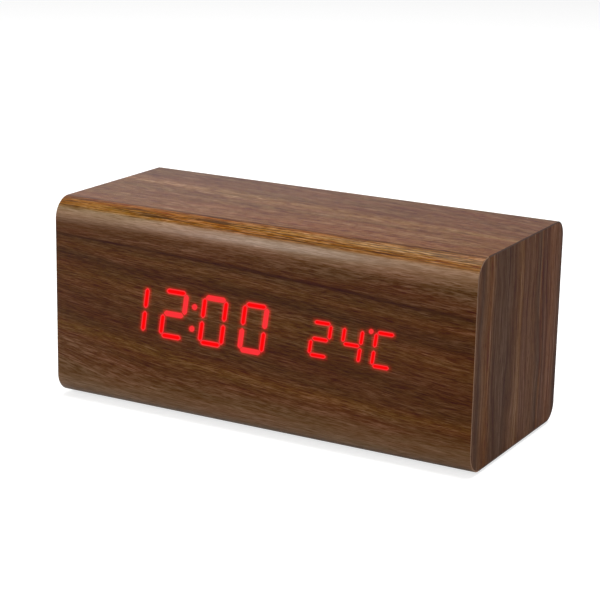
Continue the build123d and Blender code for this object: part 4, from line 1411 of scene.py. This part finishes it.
    def is_raw_rim(self, edge: bmesh.types.BMEdge) -> bool:
        """Tell whether an edge is the outer rim of a raw end.

        Args:
            edge: The edge.

        Returns:
            True if it lies in an end plane and on the sheet's outside.
        """
        if len(edge.link_faces) != 2 or any(
                abs(abs(vert.co.x) - self.high.x * MM) > CLOSE for vert in edge.verts):
            return False
        normals = [face.normal for face in edge.link_faces]
        middle = (edge.verts[0].co + edge.verts[1].co) / 2
        out = middle - Vector((middle.x, 0, self.middle * MM))
        return (any(abs(normal.x) > ALIGNED for normal in normals)
                and any(normal.dot(out) > 0 and abs(normal.x) < ACROSS for normal in normals))

    def build(self) -> Piece:
        """Build the sheet: a box, bent, opened, thickened, cut and eased.

        Returns:
            The finished piece.
        """
        sheet = new_block("veneer_wrap", self.low, self.high)
        self.bend(sheet, self.low.y, self.front_radius)
        self.bend(sheet, self.high.y, self.rear_radius)
        with editing(sheet, Pick.FACE, lambda face: abs(face.normal.x) > ALIGNED):
            bpy.ops.mesh.delete(type="FACE")
        self.divide_display(sheet)
        apply_modifier(sheet, "SOLIDIFY", thickness=self.thickness * MM, offset=-1.0,
                       use_even_offset=True)
        cut_away(sheet, self.rear_cutter())
        cut_away(sheet, new_block(
            "seam_cutter", (self.low.x - self.overrun, self.seam_y - self.seam_gap / 2,
                            self.low.z - self.overrun),
            (self.high.x + self.overrun, self.seam_y + self.seam_gap / 2,
             self.low.z + 2 * self.thickness)))
        cut_away(sheet, self.figures.model_all(
            "slot_cutter", self.low.y - self.overrun, self.low.y + 2 * self.thickness, False))
        bevel(sheet, self.is_raw_rim, self.edge_ease, self.edge_steps)
        smooth_by_angle(sheet, self.smooth_degrees)
        self.mark(sheet)
        dress(sheet, WalnutWrap().build(), RAW_EDGE_AND_HIGHLIGHT.build(), DARK_REAR_EDGE.build())
        # Raw end faces at the front take the pale edge, partly a painted highlight; behind it they
        # take the dark edge.
        for face in sheet.data.polygons:
            raw = (abs(face.normal.x) > self.raw_normal
                   and abs(face.center.x) > (self.high.x - self.overrun) * MM)
            front = face.center.y < (self.top_start + self.overrun) * MM
            face.material_index = (1 if front else 2) if raw else 0
        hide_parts("wrap_veneer")
        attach(sheet, "clock_case")
        return sheet


@dataclass
class DryCells:
    """Three AAA cells in the bay, each with a sleeve, a crimped rim and a nub."""
    radius: float = 5.25
    length: float = 44.5
    nub_radius: float = 1.9
    nub_length: float = 1.0
    shoulder: float = 0.45
    shoulder_steps: int = 4
    rim_width: float = 0.9
    dish_depth: float = 0.35
    band_length: float = 9.0
    end_depth: float = 1.0
    plate_thickness: float = 0.4
    sides: int = 48
    count: int = 3
    smooth_degrees: float = 40.0

    def shape_end(self, cell: Piece, top: bool) -> None:
        """Sink the middle of one end inside its rim, and raise the nub on the top one.

        Args:
            cell: The cell.
            top: Whether it is the upper end.
        """
        way = 1 if top else -1
        with editing(cell, Pick.FACE, lambda face: face.normal.z * way > SQUARE):
            bpy.ops.mesh.inset(thickness=self.rim_width * MM)
            bpy.ops.mesh.extrude_region_move(TRANSFORM_OT_translate={
                "value": metres(0, 0, -way * self.dish_depth)})
            if top:
                bpy.ops.mesh.inset(thickness=(
                    self.radius - self.shoulder - self.rim_width - self.nub_radius) * MM)
                bpy.ops.mesh.extrude_region_move(TRANSFORM_OT_translate={
                    "value": metres(0, 0, self.dish_depth + self.nub_length)})

    def model_cell(self) -> Piece:
        """Model one cell that stands on its flat end at z = 0.

        Returns:
            The cell.
        """
        body = self.length - self.nub_length
        cell = new_round("dry_cell", self.radius, body, self.sides)
        bevel(cell, lambda edge: reach(edge, 2) < CLOSE, self.shoulder, self.shoulder_steps)
        for top in (False, True):
            self.shape_end(cell, top)
        with editing(cell, Pick.FACE, lambda face: abs(face.normal.z) < ACROSS):
            bpy.ops.mesh.bisect(plane_co=metres(0, 0, body - self.band_length),
                                plane_no=(0, 0, 1))
        smooth_by_angle(cell, self.smooth_degrees)
        dress(cell, CELL_SLEEVE.build(), CELL_BAND.build(), CELL_CAN.build())
        crimp = self.radius - self.shoulder - self.rim_width / 2
        for face in cell.data.polygons:
            height = face.center.z / MM
            bare = (math.hypot(face.center.x, face.center.y) / MM < crimp
                    and not self.end_depth < height < body - self.end_depth)
            face.material_index = 2 if bare else int(height > body - self.band_length)
        return cell

    def build(self) -> Piece:
        """Build the cells where the frame has them, their nubs pointing by turns.

        Returns:
            The joined cells.
        """
        low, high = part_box("battery_cells")
        plate_low, plate_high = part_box("battery_plates")
        radius, contact = metres(self.radius, self.plate_thickness)
        pattern = self.model_cell()
        pitch = (high.z - low.z - 2 * radius) / (self.count - 1)
        cells = []
        for place in range(self.count):
            way = -1 if place % 2 else 1
            nub_x = (plate_high.x if way > 0 else plate_low.x) - way * contact
            turn = Matrix.Rotation(way * math.pi / 2, 4, "Y")
            stand = Matrix.Translation((0, 0, -self.length * MM))
            at = Matrix.Translation((nub_x, (low.y + high.y) / 2, low.z + radius + place * pitch))
            cells.append(copy_of(pattern, at @ turn @ stand))
        bpy.data.objects.remove(pattern)
        joined = join_all("dry_cells", cells)
        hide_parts("battery_cells")
        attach(joined, "clock_case")
        return joined


@dataclass
class ButtonLegends:
    """Raised marks on the rear cover, one under each button: SET, up and down."""
    letter_height: float = 2.3
    capital_share: float = 0.7
    curve_steps: int = 4
    relief: float = 0.15
    drop: float = 6.0
    arrow_radius: float = 1.25
    ease: float = 0.05
    ease_steps: int = 2

    def stand(self, node: str) -> Matrix:
        """Work out where a mark goes, turned to be read from behind the clock.

        Args:
            node: The button that it belongs to.

        Returns:
            The matrix that places a mark drawn flat at the origin, in metres.
        """
        low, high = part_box(node)
        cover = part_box("rear_cover")[1].y
        turned = Matrix(((-1, 0, 0, 0), (0, 0, 1, 0), (0, 1, 0, 0), (0, 0, 0, 1)))
        return Matrix.Translation(((low.x + high.x) / 2, cover - self.ease * MM,
                                   (low.z + high.z) / 2 - self.drop * MM)) @ turned

    def model_word(self, word: str) -> Piece:
        """Model a short raised word flat at the origin.

        Args:
            word: The word.

        Returns:
            The word as a mesh.
        """
        half = (self.relief + self.ease) / 2
        clear_selection()
        bpy.ops.object.text_add()
        text = bpy.context.object.data
        text.body = word
        text.size = self.letter_height / self.capital_share * MM
        text.align_x, text.align_y = "CENTER", "CENTER"
        text.extrude = half * MM
        text.resolution_u = self.curve_steps
        bpy.ops.object.convert(target="MESH")
        letters = bpy.context.object
        letters.data.transform(Matrix.Translation(metres(0, 0, half)))
        with editing(letters, Pick.FACE, lambda face: True):
            bpy.ops.mesh.remove_doubles(threshold=CLOSE / 10)
        return letters

    def model_arrow(self, down: bool) -> Piece:
        """Model a raised arrowhead flat at the origin.

        Args:
            down: Whether it points down.

        Returns:
            The arrowhead.
        """
        arrow = new_round("arrow", self.arrow_radius, self.relief + self.ease, 3)
        if down:
            arrow.data.transform(Matrix.Rotation(math.pi, 4, "Z"))
        with editing(arrow, Pick.FACE, lambda face: face.normal.z > ALIGNED):
            bpy.ops.mesh.bevel(offset=self.ease * MM, segments=self.ease_steps, affect="EDGES")
        return arrow

    def build(self) -> Piece:
        """Build the three marks.

        Returns:
            The joined marks.
        """
        marks = {"set_button": self.model_word("SET"), "up_button": self.model_arrow(False),
                 "down_button": self.model_arrow(True)}
        for node, mark in marks.items():
            mark.data.transform(self.stand(node))
        legends = join_all("button_legends", list(marks.values()))
        dress(legends, LEGEND_INK.build())
        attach(legends, "clock_case")
        return legends


class Construction:
    """The construction's own pieces, which keep their shape and get their finishes."""

    def build(self) -> None:
        """Dress the nodes that have a plain made surface, and then the end veneers."""
        for finish, names in FINISHED_NODES.items():
            material = finish.build()
            for name in names:
                dress(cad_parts[name], material)
        for side in (Side.RIGHT, Side.LEFT):
            dress(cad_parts[f"{side.name.lower()}_end_veneer"],
                  WalnutEnd(side=side).build())


@dataclass(frozen=True)
class Softbox:
    """One square light: where it stands, its width and height in millimetres, and its power."""
    name: str
    place: tuple[float, float, float]
    size: tuple[float, float]
    watts: float

    def build(self, aim: Sequence[float]) -> None:
        """Add the light, facing a point.

        Args:
            aim: The point, in millimetres.
        """
        data = bpy.data.lights.new(self.name, "AREA")
        data.shape = "RECTANGLE"
        data.size, data.size_y = metres(*self.size)
        data.energy = self.watts
        light = bpy.data.objects.new(self.name, data)
        bpy.context.scene.collection.objects.link(light)
        light.location = metres(*self.place)
        way = Vector(metres(*aim)) - light.location
        light.rotation_euler = way.to_track_quat("-Z", "Y").to_euler()


@dataclass(frozen=True)
class Shine:
    """How strongly a surface shines for each kind of ray."""
    seen: float
    mirrored: float
    other: float

    def build(self, tree: Tree) -> Node:
        """Choose the strength by the kind of ray.

        Args:
            tree: The node tree.

        Returns:
            The node that gives the strength.
        """
        rays = add_node(tree, "LightPath").outputs
        seen = worked(tree, "MAXIMUM", rays["Is Camera Ray"], rays["Is Transmission Ray"])
        return worked(tree, "MAXIMUM", remap(tree, seen, onto=(self.other, self.seen)),
                      worked(tree, "MULTIPLY", rays["Is Glossy Ray"], self.mirrored))


@dataclass
class Studio:
    """A white floor without an edge, soft lights, and a camera at the photograph's angle."""
    floor_reach: float = 6000.0
    floor_colour: str = "#b8b8b8"
    floor_shine: Shine = Shine(0.7, 0.2, 0.0)
    sky_shine: Shine = Shine(1.0, 0.7, 0.2)
    azimuth: float = 28.94
    elevation: float = 15.448
    roll: float = 1.139
    distance: float = 616.634
    aim: tuple[float, float, float] = (-1.788, 0.0, 36.647)
    focal_pixels: float = 1895.315
    frame_pixels: float = 600.0
    sensor: float = 36.0
    clip: tuple[float, float] = (10.0, 20000.0)
    light_aim: tuple[float, float, float] = (0.0, 0.0, 35.0)
    softboxes: tuple[Softbox, ...] = (
        Softbox("front_softbox", (-560, -1013, 471), (640, 760), 8.4),
        Softbox("top_softbox", (80, 60, 1000), (900, 700), 14.0),
        Softbox("right_softbox", (1050, -420, 420), (600, 500), 2.6),
    )

    def build_camera(self) -> None:
        """Add the camera."""
        turn, rise, roll = map(math.radians, (self.azimuth, self.elevation, self.roll))
        back = Vector((math.sin(turn) * math.cos(rise), -math.cos(turn) * math.cos(rise),
                       math.sin(rise)))
        right = Vector((math.cos(turn), math.sin(turn), 0))
        up = back.cross(right)
        tilted_right = math.cos(roll) * right + math.sin(roll) * up
        tilted_up = -math.sin(roll) * right + math.cos(roll) * up
        data = bpy.data.cameras.new("camera")
        data.sensor_width = self.sensor
        data.lens = self.focal_pixels / self.frame_pixels * self.sensor
        data.clip_start, data.clip_end = metres(*self.clip)
        camera = bpy.data.objects.new("camera", data)
        bpy.context.scene.collection.objects.link(camera)
        place = Matrix((tilted_right, tilted_up, back)).transposed().to_4x4()
        place.translation = Vector(metres(*self.aim)) + back * self.distance * MM
        camera.matrix_world = place
        bpy.context.scene.camera = camera

    def build_floor(self) -> None:
        """Add a floor whose lit parts show white, and which keeps the clock's shadow."""
        clear_selection()
        bpy.ops.mesh.primitive_plane_add(size=2 * self.floor_reach * MM)
        floor = added("floor")
        material = bpy.data.materials.new("white_sweep")
        material.use_nodes = True
        tree = material.node_tree
        tree.nodes.clear()
        matt = add_node(tree, "BsdfDiffuse", {"Color": linear(self.floor_colour)})
        white = add_node(tree, "Emission", {
            "Color": linear("#ffffff"), "Strength": self.floor_shine.build(tree)})
        lifted = add_node(tree, "AddShader", {0: matt, 1: white})
        add_node(tree, "OutputMaterial", {"Surface": lifted})
        dress(floor, material)

    def build_world(self) -> None:
        """Add a pale world that is white to the camera."""
        world = bpy.data.worlds.new("studio")
        bpy.context.scene.world = world
        world.use_nodes = True
        tree = world.node_tree
        tree.nodes.clear()
        sky = add_node(tree, "Background", {
            "Color": linear("#ffffff"), "Strength": self.sky_shine.build(tree)})
        add_node(tree, "OutputWorld", {"Surface": sky})

    def build(self) -> None:
        """Build the camera, the floor, the lights and the world."""
        self.build_camera()
        self.build_floor()
        for softbox in self.softboxes:
            softbox.build(self.light_aim)
        self.build_world()
        bpy.context.scene.view_settings.view_transform = "Standard"


def main() -> None:
    """Build the dressed clock, piece by piece."""
    logging.basicConfig(level=logging.INFO, format="%(message)s")
    Studio().build()
    log.info("studio ready")
    Construction().build()
    log.info("construction dressed")
    figures = Figures()
    sheet = WrapSheet(figures).build()
    log.info("veneer wrap: %d faces", len(sheet.data.polygons))
    lights = figures.build()
    log.info("lit figures: %d faces", len(lights.data.polygons))
    legends = ButtonLegends().build()
    log.info("button legends: %d faces", len(legends.data.polygons))
    cells = DryCells().build()
    log.info("dry cells: %d faces", len(cells.data.polygons))


if __name__ == "__main__":
    main()
